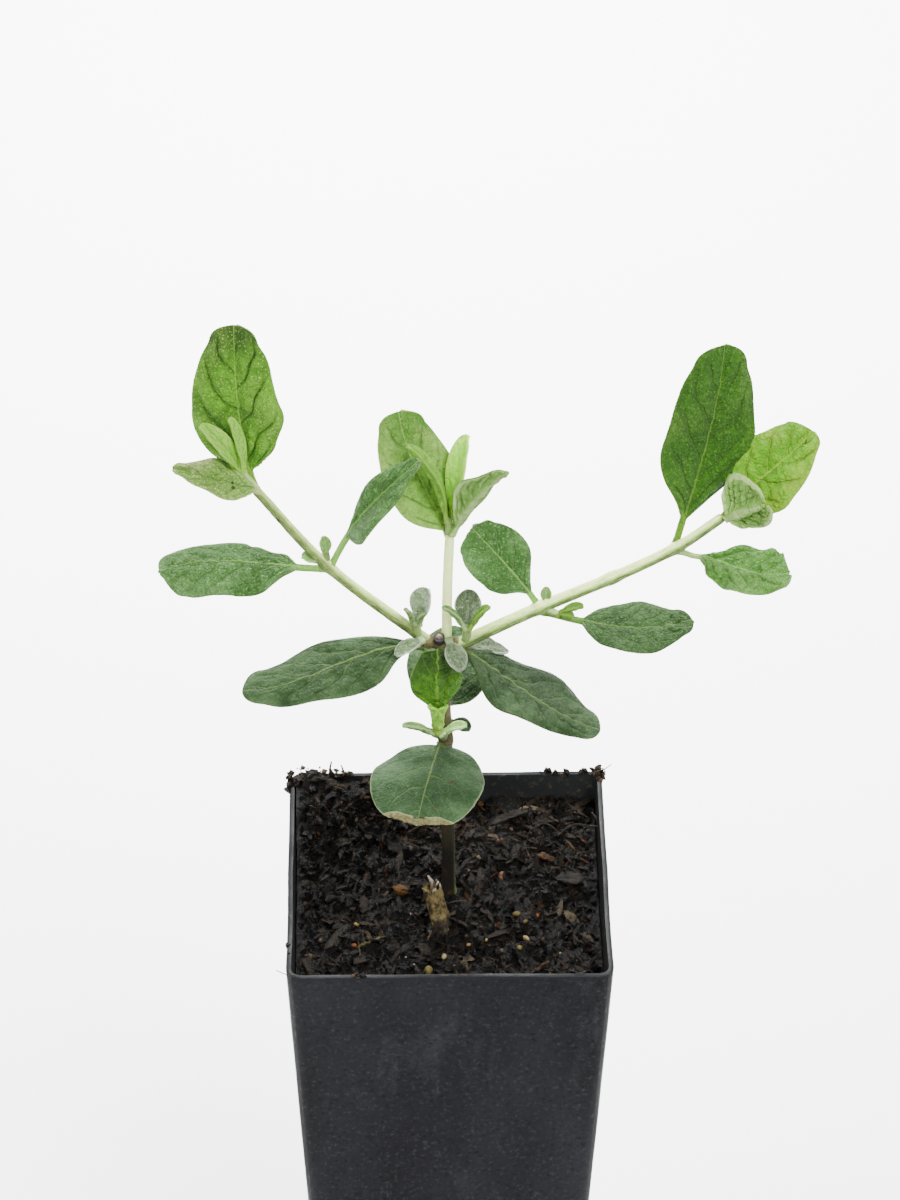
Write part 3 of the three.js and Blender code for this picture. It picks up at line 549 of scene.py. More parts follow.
def plainHalf(look, inside, narrow):        # a simple blade, widest where it is told
    skew = math.log(0.5) / math.log(look["widest"])
    full = mixed(look["footCurve"], look["tipCurve"], inside)
    blade = look["width"] / 2 * np.sin(math.pi * inside ** skew) ** full
    return blade, mixed(narrow, look["tipWidth"] / 2, inside)


def leafHalf(look, t, seed):                # half the width along the blade, for each side
    narrow = look["stalk"][0] / 2
    inside = np.clip(t, 0, 0.9995)
    halves = []
    for side in (0, 1):
        drawn = drawnHalf(look, side, inside, narrow) if look["outline"] else plainHalf(look, inside, narrow)
        blade, least = drawn
        for dentSide, dentPlace, depth, reach in look["dents"]:
            blade = blade - (depth if dentSide == side else 0) * np.exp(-((t - dentPlace) / reach) ** 2)
        blade = np.where(t > 0, np.maximum(blade, least), narrow)
        jagged = rippled(t, 0 * t, seed + side, 0.3) + 0.6 * rippled(t, 0 * t, seed + 5 + side, 0.09)
        halves.append(blade * (1 + look["ragged"] * jagged * soft(t, 0, 0.15)))
    return halves


def leafSpine(look):                        # the bent midrib, and the ways along, across and up from it
    heading, climb = math.radians(look["heading"]), math.radians(look["climb"])
    level = Vector((math.cos(heading), math.sin(heading), 0))
    ahead = level * math.cos(climb) + Vector((0, 0, math.sin(climb)))
    top = Vector((0, 0, math.cos(climb))) - level * math.sin(climb)
    top = Matrix.Rotation(math.radians(look["roll"]), 3, ahead) @ top
    right = ahead.cross(top)
    start = look["petiole"] / look["length"]
    s = np.linspace(0, 1, look["rows"] + 1)
    blade = np.clip((s - petioleRows) / (1 - petioleRows), 0, 1)
    eased = mixed(blade, (1 - np.cos(math.pi * blade)) / 2, 0.75)
    u = np.where(s < petioleRows, s / petioleRows * start, start + (1 - start) * eased)
    foot = np.array(look["foot"], float)
    knots = []
    for share, lift, aside in zip((0, 1 / 3, 2 / 3, 1), (0, *look["rise"], 0), (0, *look["sway"], 0)):
        step = np.array(ahead) * share + np.array(top) * lift + np.array(right) * aside
        knots.append(foot + look["length"] * step)
    w = u[:, None]
    centre = (1 - w) ** 3 * knots[0] + 3 * (1 - w) ** 2 * w * knots[1]
    centre = centre + 3 * (1 - w) * w ** 2 * knots[2] + w ** 3 * knots[3]
    alongs = 3 * (1 - w) ** 2 * (knots[1] - knots[0]) + 6 * (1 - w) * w * (knots[2] - knots[1])
    alongs = alongs + 3 * w ** 2 * (knots[3] - knots[2])
    alongs /= np.linalg.norm(alongs, axis=1)[:, None]
    if look["join"]:                        # the petiole starts in the stem
        centre = centre + (np.array(look["join"]) - foot) * (1 - soft(u, 0, 0.8 * start))[:, None]
    sides = np.array(right) - (alongs @ np.array(right))[:, None] * alongs
    sides /= np.linalg.norm(sides, axis=1)[:, None]
    return start, u, centre, alongs, sides, np.cross(sides, alongs)


def leafForm(look, seed):                   # points, how thick the blade is, and where each point lies on it
    length, rows, columns = look["length"], look["rows"], look["columns"]
    start, u, centre, alongs, sides, ups = leafSpine(look)
    t = (u - start) / (1 - start)
    share = soft(u, start, start + 0.2)     # 0 on the petiole, 1 on the blade
    onBlade = share[:, None]
    halves = leafHalf(look, t, seed)
    flare = 1 + 0.45 * np.exp(-(u * length / 1.1) ** 2)
    steps = columns // 2
    a = np.linspace(0, 1, steps + 1)
    size, count, shift = look["wave"]
    points = np.zeros((rows + 1, columns + 1, 3))
    thick = np.zeros((rows + 1, columns + 1))
    place = np.zeros((rows + 1, columns + 1, 3))
    for side, sign in ((0, -1), (1, 1)):
        half = halves[side] * flare
        bend = look["fold"][side] + look["cup"][side] * a + look["hem"][side] * soft(a, 0.72, 1)
        turn = np.radians(onBlade * bend[None, :])
        middle = (turn[:, 1:] + turn[:, :-1]) / 2
        zero = np.zeros((rows + 1, 1))
        out = np.hstack([zero, np.cumsum(np.cos(middle), axis=1) / steps]) * half[:, None]
        lift = np.hstack([zero, np.cumsum(np.sin(middle), axis=1) / steps]) * half[:, None]
        wave = np.sin(2 * math.pi * count * u + shift + (1.3 if sign > 0 else 0))[:, None]
        lift += size * (share * np.minimum(1, 2 * half / half.max()))[:, None] * a ** 2 * wave
        t2 = t[:, None] + 0 * a
        a2 = a[None, :] + 0 * t2
        off = a2 * half[:, None]
        # quilting between the veins, a groove along the midrib, and small lumps
        warped = t2 + 0.03 * rippled(t2 * 8, a2 * sign * 3, seed + 11, 2.6) * soft(a2, 0, 0.3)
        run = warped - veinRun["slope"] * a2 - veinRun["curl"] * a2 ** 2
        near = 1 - 2 * np.abs((look["pairs"] * run + sign * veinRun["stagger"]) % 1 - 0.5)
        fade = soft(a2, 0.02, 0.3) * (1 - soft(a2, 0.7, 1)) * soft(t2, 0, 0.14) * (1 - soft(t2, 0.84, 1))
        relief = look["quilt"] * (1 - near ** 4) * fade
        relief -= look["groove"] * np.exp(-(off / 0.42) ** 2) * onBlade * (1 - 0.6 * t2)
        lumps = look["lumps"] * onBlade * (1 - 0.85 * soft(a2, 0.5, 1)) * (1 - 0.8 * soft(t2, 0.88, 1))
        relief += lumps * rippled(t2 * length, off * sign, seed + 23, 2.6)
        relief += 0.4 * lumps * rippled(t2 * length, off * sign, seed + 29, 1.1)
        lean = (sign * turn)[..., None]
        outward = ups[:, None, :] * np.cos(lean) - sides[:, None, :] * np.sin(lean)
        row = centre[:, None, :] + sign * out[..., None] * sides[:, None, :]
        row = row + lift[..., None] * ups[:, None, :] + relief[..., None] * outward
        strip, stripTurn = look["frontFold"]
        if stripTurn:                       # a strip along the front margin stands up
            widestRow = int(np.argmax(half))
            marginAt = np.interp(off, half[widestRow:][::-1], t[widestRow:][::-1])
            reach = strip * (1 - soft(off, 0.3 * half.max(), 0.72 * half.max()))
            beyond = np.clip((t2 - marginAt) * length * (1 - start) + reach, 0, None)
            foldBy = np.radians(stripTurn) * soft(beyond, 0, 0.4) * soft(t2, 0.7, 0.84)
            row += (beyond * (np.cos(foldBy) - 1))[..., None] * alongs[:, None, :]
            row += (beyond * np.sin(foldBy))[..., None] * ups[:, None, :]
        # the petiole is thick, the blade thinner, its margin thinnest
        depth = mixed(look["stalk"][1], look["blade"], share)[:, None] * mixed(1, 0.55, soft(a2, 0.8, 1) * onBlade)
        depth = depth + 0.4 * (1 - 0.8 * t2) * onBlade * np.exp(-(off / 0.5) ** 2)
        depth = depth + 0.1 * soft(near, 0.7, 1) * fade
        picks = slice(steps, columns + 1) if sign > 0 else slice(0, steps + 1)
        order = slice(None) if sign > 0 else slice(None, None, -1)
        points[:, picks] = row[:, order]
        thick[:, picks] = depth[:, order]
        spots = np.stack([warped, sign * a2, np.broadcast_to(half[:, None], a2.shape)], axis=2)
        place[:, picks] = spots[:, order]
    return points, thick, place


def buildLeaf(name, look):
    look = {**leafBasics, **look}
    leafCount["made"] += 1
    rows, columns = look["rows"], look["columns"]
    leaf = startFrom("grid", name, x_subdivisions=columns, y_subdivisions=rows, size=2)
    flat = readPoints(leaf)
    j = np.rint((flat[:, 0] + 1) / 2 * columns).astype(int)
    i = np.rint((flat[:, 1] + 1) / 2 * rows).astype(int)
    points, thick, place = leafForm(look, 100 * leafCount["made"])
    writePoints(leaf, points[i, j] * mm)
    writeTrait(leaf, "leafPlace", place[i, j])
    most = thick.max()
    group = leaf.vertex_groups.new(name="thick")
    for index, share in enumerate(thick[i, j] / most):
        group.add([index], float(share), "REPLACE")
    addModifier(leaf, "thickness", "SOLIDIFY", thickness=most * mm, offset=-1, vertex_group="thick",
                thickness_vertex_group=0, material_offset=1)
    for key, raised in ((look["paint"], False), (look["under"], True)):
        leaf.data.materials.append(leafPaint(key, look, raised, name))
    applyModifiers(leaf)
    bpy.ops.object.shade_smooth()
    leaf.vertex_groups.clear()
    return leaf


# where the stems branch or carry leaves, in millimetres
lowerNode, topNode = (-0.4, 1, 145.7), (-1.2, 1, 164.6)
leftArm, rightArm = (-4.4, 1, 165.2), (2.4, 1, 164.6)
leftNode, leftTip = (-17.9, 1, 178.3), (-28.6, 1, 192.6)
centreFoot, centreTip = (-0.3, 1.6, 165), (0.1, 1, 184.4)
rightNode, rightFar, rightTip = (13.7, 1, 170.6), (33.6, 1, 181.4), (40.6, 1, 187.2)

leaves = {
    "lower_front_leaf": {
        "foot": (-1.2, 0.4, 145.6), "heading": -100, "climb": 3, "length": 22.6, "petiole": 1.2, "width": 17.2,
        "widest": 0.52, "footCurve": 0.42, "tipCurve": 0.42, "rise": (0.05, 0.1), "fold": (5, 5),
        "cup": (-14, -14), "frontFold": (1.15, 100), "wave": (0.4, 2, 0), "pairs": 4, "paint": "broadLeaf",
        "under": "driedUnder", "blots": ((0.52, -0.42, 0.55, (96, 62, 44)), (0.78, -0.28, 0.4, (100, 66, 46))),
    },
    "lower_back_leaf": {
        "foot": lowerNode, "heading": 87, "climb": 17, "length": 21.5, "petiole": 6, "width": 13, "widest": 0.4,
        "footCurve": 0.5, "tipCurve": 0.65, "rise": (0.08, 0.06), "wave": (0.4, 2, 0), "paint": "darkLeaf",
        "tone": 1.45,
    },
    "top_left_leaf": {
        "foot": (-3.6, 0.6, 164), "heading": -170, "climb": -9.5, "roll": -11, "length": 28.3, "petiole": 1.8,
        "outline": ((2.4, 4.6, 5.5, 5.3, 4.3, 3.3, 2.2), (1.8, 3.6, 4.8, 5.6, 5.5, 4.8, 4.1)),
        "rise": (0.09, 0), "sway": (0.077, -0.117), "fold": (-20, -4), "hem": (-18, -18), "wave": (0.4, 2, 0),
        "paint": "darkLeaf", "tone": 0.98,
    },
    "top_right_leaf": {
        "foot": (1.6, 0.4, 163.8), "heading": -14.5, "climb": -28, "roll": 6, "length": 24.9, "petiole": 1.8,
        "outline": ((2.4, 4.2, 5.8, 7.0, 7.1, 5.8, 4.4), (2.6, 4.6, 6.0, 5.2, 4.1, 3.1, 2.7)),
        "rise": (-0.037, -0.067), "sway": (-0.064, 0.061), "fold": (-6, -6), "hem": (-18, -18),
        "wave": (0.4, 2, 0), "paint": "darkLeaf", "tone": 0.82,
    },
    "top_back_leaf": {
        "foot": (1.2, 2, 163), "heading": 36, "climb": -28, "length": 11, "petiole": 1.6, "width": 6.4,
        "rise": (0.04, 0.04), "fold": (6, 6), "paint": "woollyLeaf",
    },
    "top_front_leaf": {
        "foot": (-0.2, 0.6, 165.4), "heading": -66, "climb": -30, "length": 5.8, "width": 3.4, "footCurve": 0.6,
        "tipCurve": 0.5, "rise": (0.06, 0.04), "fold": (10, 10), "stalk": (0.9, 0.7), "rows": 44, "columns": 24,
        "pairs": 3, "quilt": 0.04, "paint": "woollyLeaf", "tone": 0.85,
    },
    "left_woolly_leaf": {
        "foot": (-3.8, -0.2, 166), "heading": -146, "climb": -12, "length": 5.2, "petiole": 0.8, "width": 2.8,
        "footCurve": 0.6, "tipCurve": 0.5, "fold": (10, 10), "stalk": (0.9, 0.7), "rows": 44, "columns": 24,
        "pairs": 3, "quilt": 0.04, "paint": "woollyLeaf", "tone": 1.45,
    },
    "left_outer_leaf": {
        "foot": leftNode, "heading": -185.4, "climb": -5.2, "roll": -13, "length": 25.5, "petiole": 4.8,
        "outline": ((2.3, 4.4, 5.5, 5.7, 5.7, 5.4, 4.8), (2.4, 3.4, 4.5, 5.3, 5.6, 5.5, 4.6)),
        "rise": (0.047, 0.03), "sway": (-0.04, 0.15), "fold": (-24, -19), "hem": (-18, -18),
        "wave": (0.3, 2, 0), "dents": ((1, 0.38, 0.5, 0.03),), "quilt": 0.24, "paint": "oldLeaf",
    },
    "left_inner_leaf": {
        "foot": leftNode, "heading": -19.8, "climb": 57.8, "roll": 31, "length": 26.5, "petiole": 6.4,
        "outline": ((0.8, 1.7, 2.4, 2.7, 2.6, 2.2, 1.5), (3.2, 4.7, 4.9, 4.4, 3.8, 3.0, 2.0)),
        "rise": (0.02, 0.07), "sway": (-0.111, 0.025), "fold": (26, 4), "hem": (-18, -18), "wave": (0.25, 2, 0),
        "quilt": 0.24, "lumps": 0.08, "paint": "oldLeaf", "tone": 1.3,
    },
    "left_back_leaf": {
        "foot": leftTip, "heading": 106.6, "climb": 67.5, "roll": -28, "length": 24.5, "petiole": 2.6,
        "outline": ((3.6, 5.7, 7.0, 6.6, 6.0, 4.9, 3.8), (4.0, 5.4, 7.0, 6.4, 5.6, 4.8, 3.6)),
        "rise": (-0.015, 0.017), "sway": (-0.064, -0.039), "fold": (6, 6), "wave": (0.5, 2, 0), "pairs": 4,
        "quilt": 0.85, "lumps": 0.1, "paint": "quiltedLeaf",
    },
    "left_front_leaf": {
        "foot": (-27.6, 0, 193.2), "heading": -165, "climb": 26, "roll": -10, "length": 14.2,
        "outline": ((1.7, 2.6, 3.1, 3.1, 2.6, 1.8, 1.1), (1.7, 2.6, 3.1, 3.1, 2.6, 1.8, 1.1)),
        "rise": (0, -0.01), "fold": (-14, 20), "wave": (0.3, 2, 0), "quilt": 0.3, "groove": 0.4,
        "paint": "greyLeaf", "tone": 1.08,
        "blots": ((0.27, 0.0, 0.3, (44, 40, 28)), (0.28, -0.35, 0.28, (44, 40, 28))),
    },
    "centre_back_leaf": {
        "foot": shifted(centreTip, 0, 0, -0.9), "heading": 139, "climb": 61.4, "roll": -30, "length": 20.7,
        "petiole": 1.4, "outline": ((2.8, 4.4, 5.3, 5.4, 5.1, 4.3, 3.5), (2.8, 4.4, 5.3, 5.4, 5.1, 4.3, 3.5)),
        "rise": (0.015, 0.029), "sway": (-0.011, -0.09), "fold": (6, 6), "wave": (0.4, 2, 0), "pairs": 4,
        "quilt": 0.4, "paint": "softLime",
    },
    "centre_front_leaf": {
        "foot": shifted(centreTip, 0.1, -0.2, 0), "heading": -36, "climb": 57, "roll": -34, "length": 18.2,
        "petiole": 2, "width": 6.4, "widest": 0.48, "rise": (0.08, 0.1), "fold": (24, 24), "wave": (0.4, 2, 0),
        "pairs": 6, "quilt": 0.35, "paint": "freshLeaf", "under": "ribbedUnder",
    },
    "right_inner_leaf": {
        "foot": rightNode, "heading": 176.5, "climb": 54.1, "roll": -55, "length": 17.5, "petiole": 3.2,
        "outline": ((1.4, 3.1, 4.4, 4.8, 5.0, 4.6, 3.9), (1.3, 2.5, 4.0, 4.6, 4.5, 3.7, 2.9)),
        "rise": (0.045, 0.034), "sway": (0.025, 0.006), "fold": (6, 6), "hem": (-18, -18), "wave": (0.3, 2, 0),
        "pairs": 4, "quilt": 0.25, "paint": "oldLeaf", "tone": 1.2,
    },
    "right_outer_leaf": {
        "foot": shifted(rightNode, 0.4, -0.3, -0.6), "join": shifted(rightNode, 0.2, -0.2, -0.3),
        "heading": -4.9, "climb": 0, "roll": 10, "length": 22.3, "petiole": 6,
        "outline": ((2.7, 4.0, 4.7, 5.2, 4.9, 4.0, 3.1), (2.5, 3.9, 4.7, 5.0, 4.7, 3.4, 2.6)),
        "rise": (-0.036, -0.042), "sway": (0.027, 0.152), "fold": (1, -2), "hem": (-18, -18),
        "wave": (0.3, 2, 0), "paint": "oldLeaf", "tone": 0.6,
    },
    "right_back_leaf": {
        "foot": rightFar, "heading": 51.1, "climb": 70.8, "roll": 60, "length": 32.2, "petiole": 5,
        "outline": ((2.4, 5.1, 7.3, 7.5, 7.2, 6.0, 4.7), (2.5, 4.6, 6.6, 7.2, 6.4, 5.2, 3.8)),
        "rise": (0.046, 0.028), "sway": (-0.011, 0.045), "fold": (5, 5), "wave": (0.4, 2, 0), "quilt": 0.35,
        "paint": "deepLeaf", "blots": ((0.5, 0.37, 0.26, (38, 44, 18)),),
    },
    "right_front_leaf": {
        "foot": shifted(rightFar, 0.4, -0.5, -0.8), "join": shifted(rightFar, 0.2, -0.2, -0.2),
        "heading": -24.4, "climb": 6, "roll": 6, "length": 17.5, "petiole": 3.2,
        "outline": ((0.9, 2.3, 4.6, 5.4, 5.3, 5.5, 5.4), (1.6, 3.4, 3.9, 4.6, 4.8, 3.7, 3.1)), "blunt": 0.95,
        "rise": (0.006, -0.017), "sway": (-0.128, 0.174), "fold": (0, -6), "wave": (0.5, 3, 0),
        "stalk": (0.6, 0.6), "quilt": 0.4, "paint": "greyFresh",
    },
    "right_tip_inner_leaf": {
        "foot": rightTip, "heading": 21.5, "climb": 40.8, "roll": 34, "length": 18.1, "petiole": 2.2,
        "outline": ((3.2, 4.8, 5.6, 5.6, 5.0, 4.5, 3.8), (3.4, 5.0, 6.0, 5.5, 4.7, 3.5, 2.6)),
        "rise": (0.01, 0.022), "sway": (-0.077, 0.066), "fold": (4, 4), "wave": (0.4, 2, 0), "pairs": 4,
        "quilt": 0.5, "paint": "limeLeaf", "blots": ((0.9, 0.16, 0.32, (62, 38, 22)),),
    },
    "right_tip_outer_leaf": {
        "foot": shifted(rightTip, 0.3, -0.6, 0.1), "heading": -33, "climb": 38, "roll": -88, "length": 8,
        "petiole": 0.6, "outline": ((2.2, 3.0, 3.7, 4.0, 3.8, 3.1, 2.4), (3.2, 4.6, 5.6, 5.9, 5.3, 4.2, 3.2)),
        "rise": (0, 0.04), "fold": (30, 30), "cup": (-40, -40), "hem": (70, 70), "rows": 72, "columns": 64,
        "pairs": 6, "quilt": 0.35, "paint": "limeLeaf", "under": "ribbedUnder", "tone": 1.12,
    },
    "lower_shoot_leaf": {
        "foot": (-1.9, -1, 150.6), "heading": -80, "climb": 88, "length": 14.2, "petiole": 3,
        "outline": ((1.8, 3.1, 3.9, 4.0, 3.6, 3.0, 2.5), (1.8, 3.1, 3.9, 4.0, 3.6, 3.0, 2.5)), "rise": (0, 0),
        "fold": (6, 6), "rows": 72, "columns": 40, "pairs": 4, "quilt": 0.06, "groove": 0.06,
        "paint": "brightLeaf", "under": "brightLeaf",
    },
}
leafSlots = {"broadLeaf": "old_leaf", "darkLeaf": "old_leaf", "oldLeaf": "old_leaf", "woollyLeaf": "woolly_leaf"}


def buildLeaves():
    for nodeName, look in leaves.items():
        leaf = buildLeaf(plainName(nodeName), look)
        finishPiece(leaf, leafSlots.get(look["paint"], "young_leaf"), nodeName)


# ---- stems

def runThrough(points, count):              # evenly spaced points on a smooth curve through the given ones
    perSpan = 60
    knots = np.array(points, float)
    padded = np.vstack([2 * knots[0] - knots[1], knots, 2 * knots[-1] - knots[-2]])
    dense = []
    for k in range(len(knots) - 1):
        p0, p1, p2, p3 = padded[k:k + 4]
        w = np.linspace(0, 1, perSpan, endpoint=False)[:, None]
        bend, twist = 2 * p0 - 5 * p1 + 4 * p2 - p3, 3 * p1 - p0 - 3 * p2 + p3
        dense.append(0.5 * (2 * p1 + (p2 - p0) * w + bend * w ** 2 + twist * w ** 3))
    dense = np.vstack(dense + [knots[-1:]])
    far = np.concatenate([[0], np.cumsum(np.linalg.norm(np.diff(dense, axis=0), axis=1))])
    marks = [far[perSpan * k] for k in range(len(knots))]
    even = np.linspace(0, far[-1], count)
    return np.stack([np.interp(even, far, dense[:, c]) for c in range(3)], axis=1), even, marks


tubeBasics = {
    "sides": 24, "rings": 90, "swell": 0.2, "ribs": 0.05, "ribTurn": 0.8, "rough": 0.012, "seed": 3, "domed": True,
}


def buildTube(name, look):
    look = {**tubeBasics, **look}
    rings, radii = look["rings"], look["radii"]
    tube = startFrom("cylinder", name, vertices=look["sides"], radius=1, depth=1)
    pickParts(tube, "EDGE", lambda edge: edgeRise(edge) > 0.5)
    bpy.ops.mesh.subdivide(number_cuts=rings - 1)
    bpy.ops.object.mode_set(mode="OBJECT")
    line, even, marks = runThrough(look["points"], rings + 1)
    ahead = np.gradient(line, axis=0)
    ahead /= np.linalg.norm(ahead, axis=1)[:, None]
    across = np.cross(ahead, (0, 1, 0))
    across /= np.linalg.norm(across, axis=1)[:, None]
    behind = np.cross(across, ahead)
    start = readPoints(tube)
    ring = np.rint((start[:, 2] + 0.5) * rings).astype(int)
    angle = -np.arctan2(start[:, 1], start[:, 0])     # this way round the walls face outwards
    far = even[ring]
    radius = mixed(radii[0], radii[1], far / even[-1])
    for mark in marks[1:-1]:                # a little thicker where leaves sit
        radius = radius * (1 + look["swell"] * np.exp(-((far - mark) / 1.1) ** 2))
    radius = radius * (1 + look["ribs"] * np.cos(4 * angle + look["ribTurn"]))
    radius = radius * (1 + look["rough"] * rippled(far, 3 * np.cos(angle), look["seed"], 2.2))
    if look["domed"]:
        left = (even[-1] - far) / radii[1]
        radius = radius * np.sqrt(np.clip(1 - (1 - np.clip(left, 0, 1)) ** 2, 0.02, 1))
    radius = radius * np.where(np.hypot(start[:, 0], start[:, 1]) < 0.5, 0, 1)
    out = np.cos(angle)[:, None] * across[ring] + np.sin(angle)[:, None] * behind[ring]
    writePoints(tube, (line[ring] + radius[:, None] * out) * mm)
    writeTrait(tube, "stemPlace", np.stack([np.cos(angle), np.sin(angle), far], axis=1))
    writeTrait(tube, "stemOut", out)
    smoothTo(tube, 50)
    return tube


# the grade paints light and shade: where the shaded underside ends and the lit top starts, and how bright they are
# along: how bright it is at its foot and further on
# lift brightens a stem's colours beyond what the lamps give it; the centre stem's high lift is painted light, as
# it stands in the shade of the leaves above
stemLooks = {
    "left": {
        "body": (154, 194, 84), "light": (228, 250, 160), "shade": (92, 120, 52), "lift": 1.35,
        "grade": (0.2, 0.84, 0.55, 2.1), "along": (0.8, 1.2), "specks": ((-25.7, 0.2, 187.0),),
    },
    "centre": {
        "body": (222, 255, 158), "light": (230, 255, 188), "shade": (182, 236, 116), "lift": 3.1,
        "grade": (-1, 1, 1, 1), "along": (1, 1), "specks": (),
    },
    "right": {
        "body": (156, 204, 90), "light": (230, 252, 164), "shade": (96, 124, 56), "lift": 1.5,
        "grade": (0.05, 0.7, 0.45, 2.0), "along": (0.7, 1.3), "specks": (),
    },
    "shoot": {
        "body": (178, 222, 116), "light": (232, 255, 176), "shade": (118, 150, 70), "lift": 1.3,
        "grade": (-0.2, 0.6, 0.7, 1.3), "along": (1, 1), "specks": (),
    },
}


def stemPaint(name, look):
    body, pale, shade = (screen(*look[key], look["lift"]) for key in ("body", "light", "shade"))
    material, shader = startPaint(name, {
        "Roughness": 0.65, "Specular IOR Level": 0.12, "Sheen Weight": 0.06, "Sheen Roughness": 0.4})
    trait, spot = traitOf("stemPlace"), ownPlace()
    upper, far = parted(traitOf("stemOut"))[2], parted(trait)[2]
    streaks = cloudy(stretched(trait, (1, 1, 0.14)), 4.2, 3, 0.6)
    patches = cloudy(spot, 260, 3, 0.6)
    felt = cloudy(spot, 3600, 4, 0.75)
    colour = coated(
        body,
        (ramped(patches, 0.35, 0.65, 0.0, 0.8), shade),
        # painted highlight on the top side of the stem, painted shade on its underside
        (ramped(upper, -0.1, 0.9, 0.0, 0.55), pale),
        (ramped(upper, -0.05, -0.8, 0.0, 0.85), shade),
        (ramped(streaks, 0.5, 0.66, 0.0, 0.6), pale),
        (ramped(streaks, 0.46, 0.3, 0.0, 0.6), shade),
        (ramped(felt, 0.54, 0.7, 0.0, 0.5), pale),
        (ramped(felt, 0.44, 0.3, 0.0, 0.5), shade),
    )
    # painted light and shade again, the top brighter and the underside darker; the along ramp changes the
    # brightness from the foot on
    colour = scaled(colour, times(ramped(upper, *look["grade"]), ramped(far, 0.0, 14.0, *look["along"])))
    colour = node("VectorMath", {"operation": "MINIMUM"}, {0: colour, 1: (0.93, 0.93, 0.93)}).outputs[0]
    for place in look["specks"]:
        centre = tuple(c * mm for c in place)
        away = node("VectorMath", {"operation": "DISTANCE"}, {0: spot, 1: centre}).outputs["Value"]
        colour = tinted(ramped(away, 0.00085, 0.00065, 0.0, 0.9), colour, screen(40, 30, 20))
    finishPaint(shader, colour, plus(times(felt, 0.8), times(streaks, 1.4)), 0.18)
    return material


def barkPaint(name):                        # the main stem: dark near the soil with a painted shadow of the lower front leaf, olive above, brown at its top node
    material, shader = startPaint(name, {"Roughness": 0.7, "Specular IOR Level": 0.12, "Sheen Weight": 0.02})
    spot = ownPlace()
    x, _, z = parted(spot)
    streaks = cloudy(stretched(spot, (1, 1, 0.16)), 1500, 4, 0.65)
    patches = cloudy(spot, 330, 4, 0.65)
    felt = cloudy(spot, 3400, 3, 0.7)
    arms = sums("ABSOLUTE", plus(x, 0.0012))
    colour = coated(
        # painted shadow: the stem is dark below about 127 mm, where the lower front leaf shades it
        screen(32, 27, 18),
        (ramped(z, 0.1225, 0.1275), screen(54, 53, 33)),
        (ramped(z, 0.136, 0.15), screen(112, 108, 64)),
        (ramped(z, 0.1605, 0.1635), screen(142, 130, 84)),
        (ramped(arms, 0.002, 0.0036), screen(190, 222, 124, 1.5)),
        (times(ramped(streaks, 0.5, 0.68, 0.0, 0.4), ramped(z, 0.128, 0.142)), screen(150, 150, 96)),
        (ramped(streaks, 0.46, 0.3, 0.0, 0.6), screen(46, 34, 20)),
        (ramped(patches, 0.54, 0.66, 0.0, 0.6), screen(80, 60, 38)),
        (times(ramped(felt, 0.52, 0.7, 0.0, 0.25), ramped(z, 0.13, 0.15)), screen(190, 190, 150)),
    )
    finishPaint(shader, colour, plus(times(felt, 0.4), times(streaks, 1.4)), 0.3)
    return material


mainStem = {
    "tubes": (                              # the stem, its two arms and the knob at the top node
        {"points": ((0.2, 1.3, 90.5), (0.2, 1.3, 114.6), lowerNode, topNode),
         "radii": (1.1, 0.95), "rings": 220, "swell": 0.25, "ribs": 0.03, "sides": 28, "domed": False},
        {"points": (shifted(topNode, 0, 0, -0.6), shifted(leftArm, 0.4, 0, -0.5)),
         "radii": (1.05, 0.85), "rings": 16},
        {"points": (shifted(topNode, 0, 0, -0.6), shifted(rightArm, -0.2, 0, -0.3)),
         "radii": (1.05, 0.85), "rings": 16},
        {"points": (shifted(topNode, -1.6, -0.5, -0.4), shifted(topNode, -2.4, -0.7, 0.3)),
         "radii": (0.9, 0.7), "rings": 10},
    ),
    "remesh": 0.16, "bark": 0.12,
}
cutTip = {"place": (-1.45, 0.4, 165.2), "radius": 0.84, "height": 1.5, "rim": 0.24, "sink": 0.12, "lean": 24}


def addTexture(name, kind, size):
    texture = bpy.data.textures.new(name, kind)
    texture.noise_scale = size * mm
    return texture


def buildMainStem():
    parts = [buildTube(f"stemPart{number}", look) for number, look in enumerate(mainStem["tubes"])]
    stem = joinAll(parts, "mainStem")
    addModifier(stem, "melt", "REMESH", mode="VOXEL", voxel_size=mainStem["remesh"] * mm)
    addModifier(stem, "ease", "SMOOTH", factor=0.6, iterations=4)
    addModifier(stem, "rough", "DISPLACE", texture=addTexture("barkGrain", "CLOUDS", 1.1), texture_coords="LOCAL",
                strength=mainStem["bark"] * mm, mid_level=0.5)
    applyModifiers(stem)
    bpy.ops.object.shade_smooth()
    stem.data.materials.append(barkPaint("stemBark"))
    finishPiece(stem, "woody_stem", "main_stem")
    buildCutTip()


